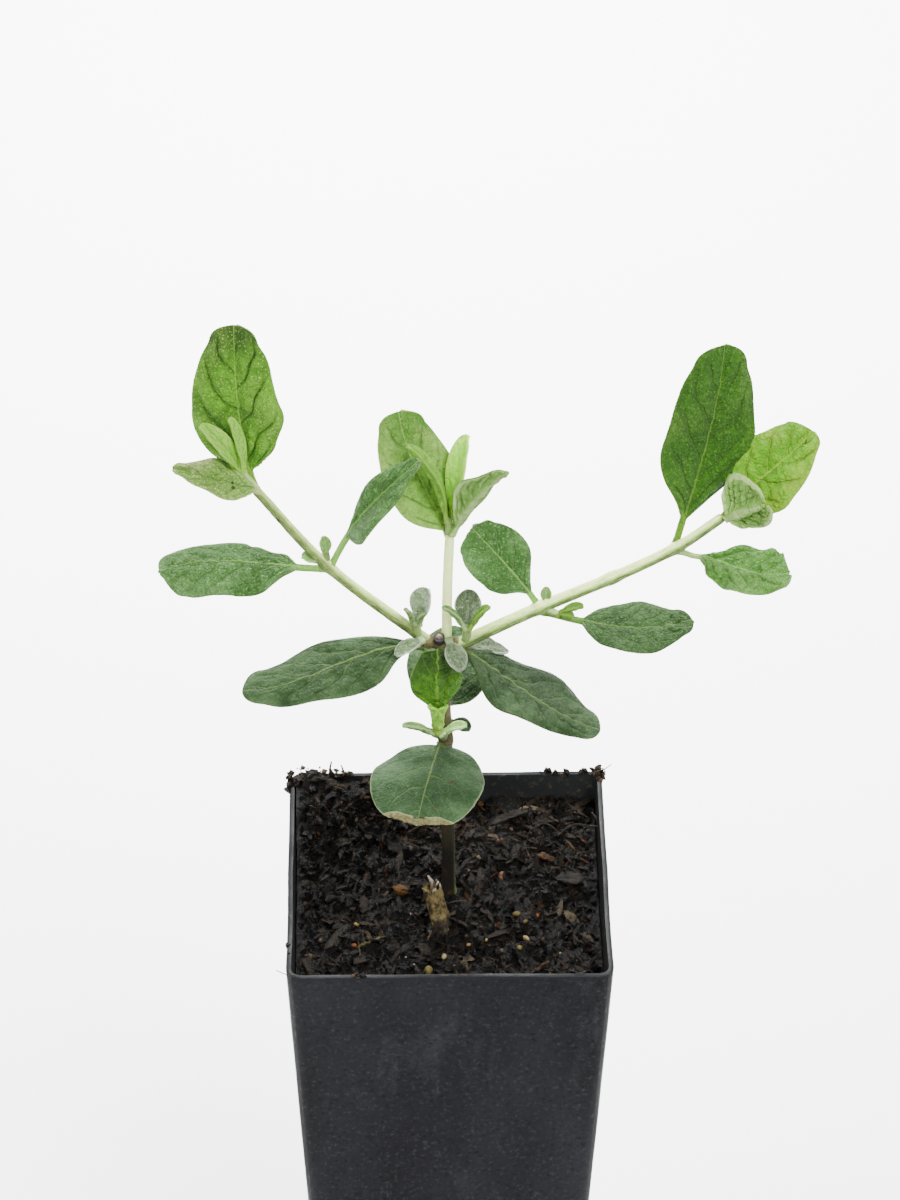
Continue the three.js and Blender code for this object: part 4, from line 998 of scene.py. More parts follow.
def buildCutTip():                          # dark bark ring round pale pith, sunk a little
    look = cutTip
    tip = startFrom("cylinder", "cutTip", vertices=32, radius=look["radius"] * mm, depth=look["height"] * mm)
    pickParts(tip, "FACE", lambda face: face.normal.z > 0.9)
    for step in (-1, 0.5):
        bpy.ops.mesh.inset(thickness=look["rim"] * mm)
        bpy.ops.transform.translate(value=(0, 0, step * look["sink"] * mm))
    bpy.ops.object.mode_set(mode="OBJECT")
    tip.rotation_euler = (math.radians(look["lean"]), 0, 0)
    tip.location = Vector(look["place"]) * mm
    settlePlace(tip)
    points = readPoints(tip)
    points[:, 2] += rippled(points[:, 0] / mm, points[:, 1] / mm, 8, 1.1) * 0.06 * mm
    writePoints(tip, points)
    addModifier(tip, "rounding", "BEVEL", width=0.06 * mm, segments=2)
    applyModifiers(tip)
    smoothTo(tip, 40)
    material, shader = startPaint("cutWood", {"Roughness": 0.75})
    spot = ownPlace()
    centre = tuple(-c * mm for c in look["place"])
    x, y, _ = parted(node("Mapping", None, {"Vector": spot, "Location": centre}).outputs[0])
    grain = cloudy(spot, 2600, 4, 0.7)
    wavy = plus(distance(x, y), times(minus(grain, 0.5), 0.0011))
    colour = coated(
        screen(214, 200, 168, 1.1),
        (ramped(wavy, 0.0002, 0.0003), screen(70, 46, 30)),
        (ramped(wavy, 0.00036, 0.00044), screen(126, 100, 72)),
        (ramped(wavy, 0.0005, 0.00058), screen(20, 13, 9)),
        (ramped(grain, 0.55, 0.7, 0.0, 0.5), screen(60, 40, 26)),
    )
    finishPaint(shader, colour, grain, 0.3)
    tip.data.materials.append(material)
    finishPiece(tip, "woody_stem")


branches = {
    "left_branch": {
        "points": (shifted(leftArm, 1, 0, -0.6), leftNode, leftTip),
        "radii": (0.9, 0.68), "rings": 180, "ribTurn": 0.4, "seed": 31,
    },
    "centre_branch": {
        "points": (centreFoot, (-0.2, 1.4, 175), centreTip),
        "radii": (0.75, 0.68), "rings": 120, "swell": 0.0, "seed": 37,
    },
    "right_branch": {
        "points": (shifted(rightArm, -0.8, 0, -0.75), rightNode, (24.3, 1, 176), rightFar, rightTip),
        "radii": (1.08, 0.78), "rings": 220, "ribTurn": 0.4, "seed": 43,
    },
}


def buildBranches():
    for nodeName, look in branches.items():
        branch = buildTube(plainName(nodeName), look)
        branch.data.materials.append(stemPaint(plainName(nodeName) + "Felt", stemLooks[nodeName.split("_")[0]]))
        finishPiece(branch, "young_stem", nodeName)


# ---- side shoots: a short stalk and its small leaves

small = {
    "under": "youngLeaf", "petiole": 0.8, "rise": (0.06, 0.1), "widest": 0.58, "footCurve": 0.8,
    "tipCurve": 0.45, "rows": 52, "columns": 28, "stalk": (0.9, 0.7), "fold": (12, 12), "pairs": 4,
    "quilt": 0.08, "lumps": 0.06, "blade": 0.36,
}
tiny = {**small, "petiole": 0.5, "rows": 28, "columns": 14, "stalk": (0.8, 0.6), "fold": (10, 10)}
felted = {"paint": "axilFelt", "under": "axilFelt"}
woolly = {"paint": "palerWool", "under": "palerWool"}

shoots = {
    "lower_front_shoot": {
        "foot": (-0.9, 0.2, 147), "reach": (-0.8, -2.6, 2.6), "radii": (0.9, 0.75), "slot": "woolly_leaf",
        "leaves": (
            {**small, **felted, "heading": -170, "climb": 24, "length": 6, "width": 1.5, "at": 0.85, "tone": 0.95},
            {**small, **felted, "heading": -8, "climb": 26, "length": 4.8, "width": 2.0, "at": 0.85, "tone": 2.1},
            {**tiny, "heading": -142, "climb": 76, "length": 6, "width": 2.8, "at": 0.95, "fold": (26, 26),
             "tone": 1.15, "paint": "youngLeaf"},
            {**tiny, "heading": -38, "climb": 76, "length": 6, "width": 2.8, "at": 0.95, "fold": (26, 26),
             "tone": 1.15, "paint": "youngLeaf"},
        ),
    },
    "lower_back_shoot": {
        "foot": (-0.5, 1.2, 148.1), "reach": (0.0, 1.5, 0.2), "radii": (0.7, 0.6), "slot": "old_leaf",
        "leaves": (
            {**small, "heading": -14, "climb": -14, "length": 4.2, "width": 2.7, "at": 0.8, "roll": 10,
             "paint": "darkLeaf"},
            {**small, "heading": 120, "climb": 30, "length": 3.4, "width": 2.4, "at": 0.8, "paint": "darkLeaf"},
        ),
    },
    "top_left_shoot": {
        "foot": (-4.6, 0.8, 165.4), "reach": (-0.4, -0.6, 3.2), "radii": (0.7, 0.6), "slot": "woolly_leaf",
        "leaves": (
            {**small, **woolly, "heading": 40, "climb": 70, "length": 6.4, "width": 4.4, "at": 0.7},
            {**tiny, **felted, "heading": -146, "climb": 64, "length": 4, "width": 1.5, "at": 0.9, "tone": 0.72},
            {**tiny, **felted, "heading": -36, "climb": 60, "length": 3.4, "width": 1.5, "at": 0.9, "tone": 0.72},
        ),
    },
    "top_right_shoot": {
        "foot": (2.6, 0.6, 165), "reach": (0.2, -1, 3.2), "radii": (0.7, 0.6), "slot": "woolly_leaf",
        "leaves": (
            {**small, **woolly, "heading": 80, "climb": 70, "length": 6.4, "width": 4.2, "at": 0.7, "tone": 0.72},
            {**small, **felted, "heading": -164, "climb": 52, "length": 6, "width": 1.8, "at": 0.9, "tone": 0.9},
            {**small, "heading": -10, "climb": 54, "length": 5.4, "width": 2.4, "at": 0.9, "tone": 0.62,
             "paint": "youngLeaf"},
        ),
    },
    "left_outer_shoot": {
        "foot": shifted(leftNode, 0, 0, 0.8), "reach": (-1.4, 0, 0.5), "radii": (0.6, 0.5),
        "slot": "woolly_leaf",
        "leaves": (
            {**tiny, **felted, "heading": -176, "climb": 22, "length": 3.4, "width": 2.0, "at": 0.6,
             "roll": -30, "tone": 1.5},
        ),
    },
    "left_inner_shoot": {
        "foot": shifted(leftNode, -0.3, 0.2, 0.4), "reach": (0, 0, 2), "radii": (0.6, 0.5),
        "slot": "woolly_leaf",
        "leaves": (
            {**tiny, **felted, "heading": 110, "climb": 74, "length": 3.4, "width": 1.9, "at": 0.6, "tone": 1.2},
        ),
    },
    "right_inner_shoot": {
        "foot": shifted(rightNode, 0.8, -0.2, 0), "reach": (-0.1, -0.2, 1.2), "radii": (0.6, 0.5),
        "slot": "woolly_leaf",
        "leaves": (
            {**tiny, **felted, "heading": 80, "climb": 74, "length": 3.0, "width": 1.7, "at": 0.5, "tone": 1.1},
        ),
    },
    "right_outer_shoot": {
        "foot": shifted(rightNode, 1.2, -0.4, -0.2), "reach": (1.4, -1.6, 0.4), "radii": (0.6, 0.5),
        "slot": "woolly_leaf",
        "leaves": (
            {**tiny, "heading": -4, "climb": 24, "length": 4.4, "width": 1.8, "at": 0.8, "tone": 0.6,
             "paint": "youngLeaf"},
            {**tiny, "heading": -30, "climb": 14, "length": 3, "width": 1.6, "at": 0.8, "tone": 0.55,
             "paint": "youngLeaf"},
        ),
    },
    "left_tip_shoot": {
        "foot": leftTip, "reach": (-1.6, 0.2, 2.6), "radii": (0.7, 0.55), "slot": "young_leaf",
        "leaves": (
            {**small, "heading": 180, "climb": 56, "length": 11, "width": 3.3, "at": 0.8, "roll": -36,
             "fold": (26, 26), "groove": 0.3, "tone": 1.1, "rows": 72, "paint": "youngLeaf"},
            {**small, "heading": 145, "climb": 76, "length": 9.8, "width": 2.2, "at": 0.8, "tone": 1.1,
             "rows": 72, "paint": "youngLeaf"},
        ),
    },
    "centre_tip_shoot": {
        "foot": centreTip, "reach": (-0.1, 0.1, 3), "radii": (0.7, 0.6), "slot": "young_leaf",
        "leaves": (
            {**small, "heading": 176, "climb": 66, "length": 14.6, "width": 3.4, "at": 0.7, "rows": 64,
             "rise": (0.1, 0.1), "fold": (30, 20), "groove": 0.3, "tone": 0.85, "paint": "youngLeaf"},
            {**small, "heading": 36, "climb": 78, "length": 14.4, "width": 4.4, "at": 0.7, "rows": 64,
             "rise": (0, 0.04), "fold": (16, 16), "groove": 0.3, "paint": "paleLeaf", "under": "paleLeaf"},
        ),
    },
}


def buildShoots():
    felt = stemPaint("shootFelt", stemLooks["shoot"])
    for nodeName, look in shoots.items():
        name = plainName(nodeName)
        foot, reach = look["foot"], look["reach"]
        stalk = buildTube(name, {
            "points": (foot, shifted(foot, *reach)), "radii": look["radii"], "rings": 24, "sides": 16})
        stalk.data.materials.append(felt)
        parts = [stalk]
        for number, leaf in enumerate(look["leaves"]):
            leafFoot = tuple(f + r * leaf["at"] for f, r in zip(foot, reach))
            parts.append(buildLeaf(f"{name}{number}", {**leaf, "foot": leafFoot}))
        finishPiece(joinAll(parts, name), look["slot"], nodeName)


# ---- pot

pot = {
    "width": 50, "height": 120, "taper": 0.051, "wall": 0.8, "corner": 2.4, "bow": 0.16,
    "drainRadius": 2.6, "drainReach": 10.5, "rimRound": 0.24,
}


def potHalf(z):                             # half the pot's width at height z
    return pot["width"] / 2 - pot["taper"] * (pot["height"] - z)


def potPaint():
    material, shader = startPaint("charcoalPlastic", {"Specular IOR Level": 0.02})
    spot = ownPlace()
    tall = stretched(spot, (1, 1, 0.35))
    broad = cloudy(tall, 38, 4, 0.6)
    smears = cloudy(tall, 110, 5, 0.7)
    specks = cloudy(spot, 1500, 3, 0.7)
    dirt = cloudy(spot, 620, 5, 0.75)
    x, y, z = parted(spot)
    widest = sums("MAXIMUM", sums("ABSOLUTE", x), sums("ABSOLUTE", y))
    wall = minus(plus(widest, times(minus(0.12, z), pot["taper"])), 0.025)
    inner = ramped(wall, -0.00045, -0.00065)
    # the inner walls carry soil grime, painted lighter than the walls to add light where the pot shades them
    grimeAndPaintedLight = tinted(ramped(dirt, 0.52, 0.72), screen(58, 60, 60), screen(108, 100, 86))
    colour = coated(
        screen(37, 37, 41),
        (ramped(broad, 0.35, 0.65), screen(48, 49, 53)),
        (ramped(smears, 0.55, 0.72, 0.0, 0.6), screen(60, 62, 66)),
        (ramped(specks, 0.54, 0.7, 0.0, 0.5), screen(74, 77, 81)),
        (ramped(specks, 0.44, 0.3, 0.0, 0.6), screen(12, 13, 14)),
        # painted highlight along the top of the rim
        (ramped(z, 0.1192, 0.1198, 0.0, 0.7), screen(41, 43, 45)),
        (times(inner, 0.85), grimeAndPaintedLight),
    )
    wire(ramped(smears, 0.3, 0.75, 0.36, 0.58), shader, "Roughness")
    finishPaint(shader, colour, plus(times(specks, 0.5), broad), 0.08, 0.5)
    return material


def buildPot():
    wide, tall = pot["width"] * mm, pot["height"] * mm
    foot = 1 - 2 * pot["taper"] * pot["height"] / pot["width"]
    shell = startFrom("cube", "nurseryPot", size=1, location=(0, 0, tall / 2), scale=(wide, wide, tall))
    settlePlace(shell)
    pickParts(shell, "EDGE", lambda edge: edgeRise(edge) > 0.5 * tall)
    bpy.ops.mesh.bevel(offset=pot["corner"] * mm, segments=8, affect="EDGES")
    pickParts(shell, "FACE", lambda face: face.normal.z < -0.9)
    bpy.ops.transform.resize(value=(foot, foot, 1), center_override=(0, 0, 0))
    pickParts(shell, "FACE", lambda face: face.normal.z > 0.9)
    bpy.ops.mesh.delete(type="FACE")
    pickParts(shell, "EDGE", lambda edge: edgeRise(edge) > 0.5 * tall)
    bpy.ops.mesh.subdivide(number_cuts=47)
    pickParts(shell, "EDGE", lambda edge: edge.calc_length() > 0.5 * foot * wide and edgeRise(edge) < 0.001)
    bpy.ops.mesh.subdivide(number_cuts=19)
    bpy.ops.object.mode_set(mode="OBJECT")
    points = readPoints(shell) / mm
    z = points[:, 2]
    free = np.clip(z / 30, 0, 1)
    for axis in (0, 1):                     # moulded walls are never quite flat
        flatWall = np.abs(points[:, axis]) > 0.72 * potHalf(z)
        other = points[:, 1 - axis]
        bulge = pot["bow"] * rippled(other, z * 0.6, 51 + axis, 34) * (1 - np.clip(np.abs(other) / 24, 0, 1) ** 2)
        points[:, axis] -= np.sign(points[:, axis]) * np.where(flatWall, np.abs(bulge) * free, 0)
    writePoints(shell, points * mm)
    addModifier(shell, "wall", "SOLIDIFY", thickness=pot["wall"] * mm, offset=-1, use_even_offset=True)
    applyModifiers(shell)
    reach = pot["drainReach"] * mm
    for place in ((-reach, -reach, 0), (-reach, reach, 0), (reach, -reach, 0), (reach, reach, 0)):
        drill = startFrom("cylinder", "drill", vertices=40, radius=pot["drainRadius"] * mm, depth=8 * mm,
                          location=place)
        addModifier(shell, "drain", "BOOLEAN", operation="DIFFERENCE", object=drill)
        applyModifiers(shell)
        bpy.data.objects.remove(drill)
    addModifier(shell, "rounding", "BEVEL", width=pot["rimRound"] * mm, segments=3, limit_method="ANGLE",
                angle_limit=math.radians(60))
    applyModifiers(shell)
    smoothTo(shell, 35)
    shell.data.materials.append(potPaint())
    finishPiece(shell, "pot", "pot")


# ---- potting mix

soil = {
    "level": 114.6, "slope": 0.03, "heap": {"x": -20, "y": 20, "height": 6.0, "spread": 9.5},
    "cuts": 190, "bottom": 2.2, "clearance": 1.05,
    "bumps": (("clods", "CLOUDS", 6.0, 3.6), ("shreds", "VORONOI", 1.9, 1.6),
              ("crumbs", "CLOUDS", 1.3, 1.5), ("dust", "CLOUDS", 0.55, 0.8)),     # size, height
}
soilLook = {
    "dark": (4, 4, 4), "body": (21, 17, 12), "cool": (15, 18, 17), "lump": (43, 36, 27), "warm": (88, 58, 36),
    "pale": (112, 98, 72), "fleck": (84, 73, 56), "deep": (5, 4, 4), "glint": (150, 142, 126),
}
surface = {"tree": KDTree((soil["cuts"] + 1) ** 2)}


def bedTop(x, y):                           # the height of the finished mix under a spot
    return float(surface["heights"][surface["tree"].find((x, y, 0))[1]])


def soilHeight(x, y):
    swell = 0.5 * np.sin(0.21 * x + 1.1) * np.cos(0.17 * y - 0.4)
    lumps = 0.42 * np.sin(0.93 * x + 0.55 * y) * np.cos(0.71 * y - 0.62 * x + 0.8)
    heap = soil["heap"]
    reach = ((x - heap["x"]) ** 2 + (y - heap["y"]) ** 2) / heap["spread"] ** 2
    return soil["level"] + swell + lumps + soil["slope"] * y + heap["height"] * np.exp(-reach)


def insidePot(x, y, z, clearance):          # a square of -1 to 1 onto the room inside the pot at height z
    half = potHalf(z) - clearance
    corner = pot["corner"] - clearance
    px, py = np.abs(x) * half, np.abs(y) * half
    dx, dy = np.clip((px - half + corner) / corner, 0, 1), np.clip((py - half + corner) / corner, 0, 1)
    rx = np.where(dx > 0, half - corner + corner * dx * np.sqrt(1 - dy ** 2 / 2), px)
    ry = np.where(dy > 0, half - corner + corner * dy * np.sqrt(1 - dx ** 2 / 2), py)
    return np.sign(x) * rx, np.sign(y) * ry


def soilPaint(name):                        # the tint trait says how lumpy, how warm and how pale a piece is
    material, shader = startPaint(name, {"Roughness": 0.55, "Specular IOR Level": 0.1})
    shades = {part: screen(*value) for part, value in soilLook.items()}
    spot = ownPlace()
    coarse = cloudy(spot, 300, 5, 0.65)
    fine = cloudy(spot, 1500, 5, 0.75)
    hue = cloudy(spot, 190, 2, 0.5)
    glints = cloudy(spot, 3900, 2, 0.6)
    lumpy, warm, pale = parted(traitOf("tint"))
    colour = coated(
        shades["dark"],
        (ramped(coarse, 0.4, 0.62), tinted(ramped(hue, 0.42, 0.58), shades["cool"], shades["body"])),
        (lumpy, shades["lump"]),
        (warm, shades["warm"]),
        (pale, shades["pale"]),
        (ramped(fine, 0.55, 0.75, 0.0, 0.6), shades["fleck"]),
        (ramped(fine, 0.47, 0.32, 0.0, 0.85), shades["deep"]),
        (ramped(glints, 0.7, 0.76, 0.0, 0.6), shades["glint"]),
    )
    colour = scaled(colour, ramped(parted(spot)[1], 0.0, 0.022, 1.0, 2.5))     # painted light: brighter towards the back, where the pot wall shades the mix
    finishPaint(shader, colour, fine, 0.6, 0.9)
    return material


def buildSoil():
    cuts, bottom = soil["cuts"], soil["bottom"]
    bed = startFrom("grid", "pottingMix", x_subdivisions=cuts, y_subdivisions=cuts, size=2)
    flat = readPoints(bed)
    x, y = insidePot(flat[:, 0], flat[:, 1], soil["level"], soil["clearance"])
    z = soilHeight(x, y)
    x, y = insidePot(flat[:, 0], flat[:, 1], z, soil["clearance"])
    writePoints(bed, np.stack([x, y, z], axis=1) * mm)
    inner = bed.vertex_groups.new(name="inner")
    depth = 1 - np.maximum(np.abs(flat[:, 0]), np.abs(flat[:, 1]))
    for index, share in enumerate(np.clip(depth * 24, 0, 1)):
        inner.add([index], float(share), "REPLACE")
    for name, kind, size, height in soil["bumps"]:
        addModifier(bed, name, "DISPLACE", texture=addTexture(name, kind, size), texture_coords="LOCAL",
                    strength=height * mm, vertex_group="inner")
    applyModifiers(bed)
    tops = readPoints(bed) / mm
    for index, (x, y, z) in enumerate(tops):
        surface["tree"].insert((x, y, 0), index)
    surface["tree"].balance()
    surface["heights"] = tops[:, 2]
    # walls go down from the edge to a flat bottom
    bpy.ops.object.mode_set(mode="EDIT")
    bpy.ops.mesh.select_mode(type="EDGE")
    bpy.ops.mesh.select_all(action="DESELECT")
    bpy.ops.mesh.select_non_manifold()
    bpy.ops.mesh.extrude_region_move(TRANSFORM_OT_translate={"value": (0, 0, -1 * mm)})
    bpy.ops.mesh.edge_face_add()
    bpy.ops.object.mode_set(mode="OBJECT")
    points = readPoints(bed)
    low = np.arange(len(points)) >= (cuts + 1) ** 2
    shrink = (potHalf(bottom) - soil["clearance"]) / (potHalf(soil["level"]) - soil["clearance"])
    points[low, :2] *= shrink
    points[low, 2] = bottom * mm
    writePoints(bed, points)
    bpy.ops.object.mode_set(mode="EDIT")
    bpy.ops.mesh.select_all(action="SELECT")
    bpy.ops.mesh.normals_make_consistent(inside=False)
    bpy.ops.object.mode_set(mode="OBJECT")
    smoothTo(bed, 40)
    writeTrait(bed, "tint", np.zeros((len(bed.data.vertices), 3)))
    bed.data.materials.append(soilPaint("dampMix"))
    bed.vertex_groups.clear()
    finishPiece(bed, "potting_mix", "potting_mix")


scatter = {
    "seed": 77, "masters": 5, "level": 115.0, "clearance": 1.8,
    "kinds": {                              # odd: how many differ in colour
        "shreds": {"count": 2300, "size": (0.6, 3.4), "shape": (1, 0.26, 0.12),
                   "lean": 32, "proud": 0.35, "odd": 0.05},
        "crumbs": {"count": 1800, "size": (0.25, 1.0), "shape": (1, 0.8, 0.65),
                   "lean": 60, "proud": 0.3, "odd": 0.05},
        "fibres": {"count": 620, "size": (1.4, 4.6), "shape": (1, 0.04, 0.04),
                   "lean": 26, "proud": 0.6, "odd": 0.2},
        "flakes": {"count": 44, "size": (2.4, 5.2), "shape": (1, 0.36, 0.09),
                   "lean": 16, "proud": 0.4, "odd": 0.05},
    },
    "spills": (                             # crumbs on the rim and in the corners
        {"place": (-22.6, 23.2, 119.9), "spread": (2.2, 1.0, 0.6), "count": 120},
        {"place": (-19.0, 24.3, 120.2), "spread": (2.0, 0.4, 0.25), "count": 26},
        {"place": (24.6, 24.0, 120.1), "spread": (0.5, 0.9, 0.3), "count": 34},
        {"place": (19.5, 24.4, 120.2), "spread": (2.6, 0.3, 0.15), "count": 16},
        {"place": (-14.3, -24.5, 120.1), "spread": (0.7, 0.12, 0.1), "count": 4},
        {"place": (-24.6, -16.0, 119.6), "spread": (0.1, 2.5, 0.4), "count": 6},
    ),
}


def buildMaster(kind, seed):                # one rough chip, worked from a cube
    dice = np.random.default_rng(seed)
    chip = startFrom("cube", kind + "Master", size=1)
    pickParts(chip, "EDGE", lambda edge: abs(edge.verts[0].co.x - edge.verts[1].co.x) > 0.5)
    bpy.ops.mesh.subdivide(number_cuts=3 if kind != "crumbs" else 1)
    bpy.ops.object.mode_set(mode="OBJECT")
    points = readPoints(chip)
    slim = 1 - 0.75 * np.abs(points[:, 0] * 2) ** 3
    points[:, 1:] *= slim[:, None]
    points[:, 1] += 0.35 * np.sin(points[:, 0] * 3 + dice.uniform(0, 6)) * (kind == "fibres") * 3
    points[:, 2] += 0.3 * np.cos(points[:, 0] * 3 + dice.uniform(0, 6))
    points += dice.uniform(-0.2, 0.2, points.shape) * (0.5 if kind == "fibres" else 1)
    writePoints(chip, points)
    return chip


def strewn(master, place, turn, size, tint):     # a copy of a master, laid in its place
    chip = master.copy()
    chip.data = master.data.copy()
    bpy.context.scene.collection.objects.link(chip)
    grown = Matrix.Diagonal((size[0] * mm, size[1] * mm, size[2] * mm, 1))
    chip.data.transform(Matrix.Translation(Vector(place) * mm) @ turn @ grown)
    writeTrait(chip, "tint", np.tile(tint, (len(chip.data.vertices), 1)))
    return chip


def layChip(kind, look, master, dice):
    spotX, spotY = dice.uniform(-0.97, 0.97, 2)
    x, y = insidePot(np.array([spotX]), np.array([spotY]), scatter["level"], scatter["clearance"])
    x, y = float(x[0]), float(y[0])
    size = mixed(*look["size"], dice.random() ** 2.2)
    long, wide, thick = (size * s for s in look["shape"])
    wide *= dice.uniform(0.6, 1.5)
    z = bedTop(x, y) + 0.08 + look["proud"] * dice.uniform(-0.5, 1.0)
    turn = Matrix.Rotation(dice.uniform(0, circle), 4, "Z")
    turn = turn @ Matrix.Rotation(math.radians(dice.normal(0, look["lean"])), 4, "Y")
    turn = turn @ Matrix.Rotation(dice.uniform(-0.6, 0.6), 4, "X")
    mood, odd = dice.random(), look["odd"]
    lumpy = dice.random() ** 2
    warm = dice.random() * 0.8 if mood > 1 - odd else 0
    pale = dice.random() * (0.35 if kind == "flakes" else 0.7) if mood < 0.7 * odd else 0
    return strewn(master, (x, y, z), turn, (long, wide, thick), (lumpy, warm, pale))


def spillCrumb(spill, master, dice):
    reach = 25.2                            # no crumb lies outside the rim
    place = Vector(dice.normal(spill["place"], spill["spread"]))
    place.x, place.y = (min(reach, max(-reach, c)) for c in (place.x, place.y))
    size = mixed(0.35, 1.5, dice.random() ** 1.6)
    turn = Matrix.Rotation(dice.uniform(0, circle), 4, "Z") @ Matrix.Rotation(dice.uniform(-1, 1), 4, "Y")
    sizes = (size, size * dice.uniform(0.4, 0.9), size * dice.uniform(0.3, 0.7))
    lumpy = dice.random()
    warm = dice.random() if dice.random() > 0.85 else 0
    pale = dice.random() * 0.8 if dice.random() < 0.08 else 0
    return strewn(master, place, turn, sizes, (lumpy, warm, pale))


def buildScatter():
    dice = np.random.default_rng(scatter["seed"])
    many = scatter["masters"]
    for kind, look in scatter["kinds"].items():
        masters = [buildMaster(kind, 900 + k) for k in range(many)]
        copies = [layChip(kind, look, masters[number % many], dice) for number in range(look["count"])]
        for spill in scatter["spills"] if kind == "crumbs" else ():
            copies += [spillCrumb(spill, masters[number % many], dice) for number in range(spill["count"])]
        for master in masters:
            bpy.data.objects.remove(master)
        whole = joinAll(copies, "mix" + kind.title())
        whole.data.materials.append(soilPaint(kind + "Mix"))
        finishPiece(whole, "potting_mix", "potting_mix")


# ---- loose chips, straw and the old stub

chips = {                                   # colours: body, dark, pale
    "bark_chip_left": {
        "size": (2.6, 1.7, 1.2), "place": (-7.4, 0.6), "turn": -40, "tilt": 10, "slot": "bark",
        "colours": ((98, 68, 30), (40, 28, 15), (140, 108, 62)),
    },
    "bark_chip_right": {
        "size": (3.0, 1.3, 0.9), "place": (15.6, 8.4), "turn": -32, "tilt": 8, "slot": "bark",
        "colours": ((88, 62, 42), (44, 32, 24), (134, 104, 76)),
    },
    "bark_strip": {
        "size": (6.8, 1.5, 0.9), "place": (10.2, 17.2), "turn": 24, "tilt": 6, "slot": "bark",
        "colours": ((46, 41, 32), (22, 19, 15), (72, 64, 52)),
    },
    "grey_flake": {
        "size": (4.6, 2.9, 0.8), "place": (19.2, 3.6), "turn": -40, "tilt": 12, "slot": "bark",
        "colours": ((40, 36, 31), (17, 15, 13), (76, 69, 60)),
    },
    "straw": {
        "size": (4.8, 0.5, 0.45), "place": (-12.1, -11.4), "turn": 26, "tilt": 5, "slot": "straw",
        "colours": ((96, 92, 48), (44, 42, 22), (160, 152, 100)),
    },
}


def chipPaint(name, colours, stretch):
    material, shader = startPaint(name, {"Roughness": 0.75, "Specular IOR Level": 0.1})
    spot = ownPlace()
    streaks = cloudy(stretched(spot, stretch), 900, 5, 0.7)
    fine = cloudy(spot, 2600, 3, 0.7)
    body, dark, pale = (screen(*c) for c in colours)
    colour = coated(
        dark,
        (ramped(streaks, 0.42, 0.54), body),
        (ramped(streaks, 0.58, 0.72, 0.0, 0.8), pale),
        (ramped(fine, 0.44, 0.3, 0.0, 0.7), dark),
    )
    finishPaint(shader, colour, plus(streaks, fine), 0.3)
    return material


def buildChips():
    around = (-0.8, 0, 0.8)
    for number, (nodeName, look) in enumerate(chips.items()):
        chip = startFrom("cube", plainName(nodeName), size=1)
        bpy.ops.object.mode_set(mode="EDIT")
        bpy.ops.mesh.subdivide(number_cuts=9)
        bpy.ops.object.mode_set(mode="OBJECT")
        x, y, z = readPoints(chip).T
        ends, sides = np.abs(2 * x) ** 3, np.abs(2 * y) ** 3
        worn = np.stack([x, y * (1 - 0.55 * ends), z * (1 - 0.6 * ends) * (1 - 0.45 * sides)], axis=1)
        worn *= np.array(look["size"])
        worn[:, 2] += 0.16 * rippled(worn[:, 0], worn[:, 1], 300 + number, 1.3)
        worn[:, 1] += 0.18 * rippled(worn[:, 0], worn[:, 2], 310 + number, 1.8)
        worn[:, 0] += 0.22 * rippled(worn[:, 1], worn[:, 2], 320 + number, 0.9)
        writePoints(chip, worn * mm)
        x, y = look["place"]
        z = max(bedTop(x + dx, y + dy) for dx in around for dy in around) + 0.3 * look["size"][2]
        turn, tilt = math.radians(look["turn"]), math.radians(-look["tilt"])
        lie = Matrix.Rotation(turn, 4, "Z") @ Matrix.Rotation(tilt, 4, "Y")
        chip.data.transform(Matrix.Translation(Vector((x, y, z)) * mm) @ lie)
        smoothTo(chip, 45)
        chip.data.materials.append(chipPaint(chip.name + "Grain", look["colours"], (0.5, 1, 1)))
        finishPiece(chip, look["slot"], nodeName)


strands = {
    "colours": {"dark": (34, 28, 22), "grey": (92, 88, 82), "brown": (62, 53, 43)},
    "runs": (                               # colour, radius, the points it passes
        ("dark", 0.17, ((-18.4, 24.2, 119.2), (-18.6, 24.9, 120.6), (-18.3, 25.2, 122.2))),
        ("dark", 0.15, ((-16.7, 24.1, 119.2), (-16.5, 24.7, 120.6), (-16.8, 24.9, 121.7))),
        ("dark", 0.1, ((24.4, 24.3, 120.2), (25.3, 24.2, 120.9), (26.6, 24.3, 122.0))),
        ("grey", 0.07, ((-26.4, -24.1, 121.0), (-24.8, -24.3, 120.3), (-22.8, -24.6, 120.2))),
        ("grey", 0.07, ((-0.2, -4.0, 117.0), (1.2, -3.7, 117.2), (2.9, -3.4, 117.0))),
        ("grey", 0.08, ((18.2, -23.5, 120.2), (19.7, -24.3, 120.25), (21.2, -23.5, 120.2))),
        ("brown", 0.2, ((17.6, 13.6, 116.0), (20.2, 14.6, 117.4), (22.6, 14.0, 117.6), (24.0, 13.4, 118.0))),
        ("brown", 0.16, ((13.2, 14.6, 116.2), (15.6, 15.2, 117.2), (17.8, 13.9, 116.6))),
        ("brown", 0.14, ((23.2, 17.6, 117.4), (23.7, 15.6, 118.2), (23.9, 14.2, 117.8))),
    ),
}


def buildStrands():                         # single fibres and small sticks in the mix and on the rim
    for tone, shade in strands["colours"].items():
        parts = []
        for number, (kind, radius, points) in enumerate(strands["runs"]):
            if kind == tone:
                parts.append(buildTube(f"{tone}Strand{number}", {
                    "points": points, "radii": (radius, 0.7 * radius), "rings": 26, "sides": 8,
                    "rough": 0.1, "seed": 80 + number}))
        whole = joinAll(parts, tone + "Strands")
        shades = (shade, tuple(0.6 * c for c in shade), tuple(1.3 * c for c in shade))
        whole.data.materials.append(chipPaint(tone + "StrandGrain", shades, (1, 1, 1)))
        finishPiece(whole, "potting_mix", "potting_mix")


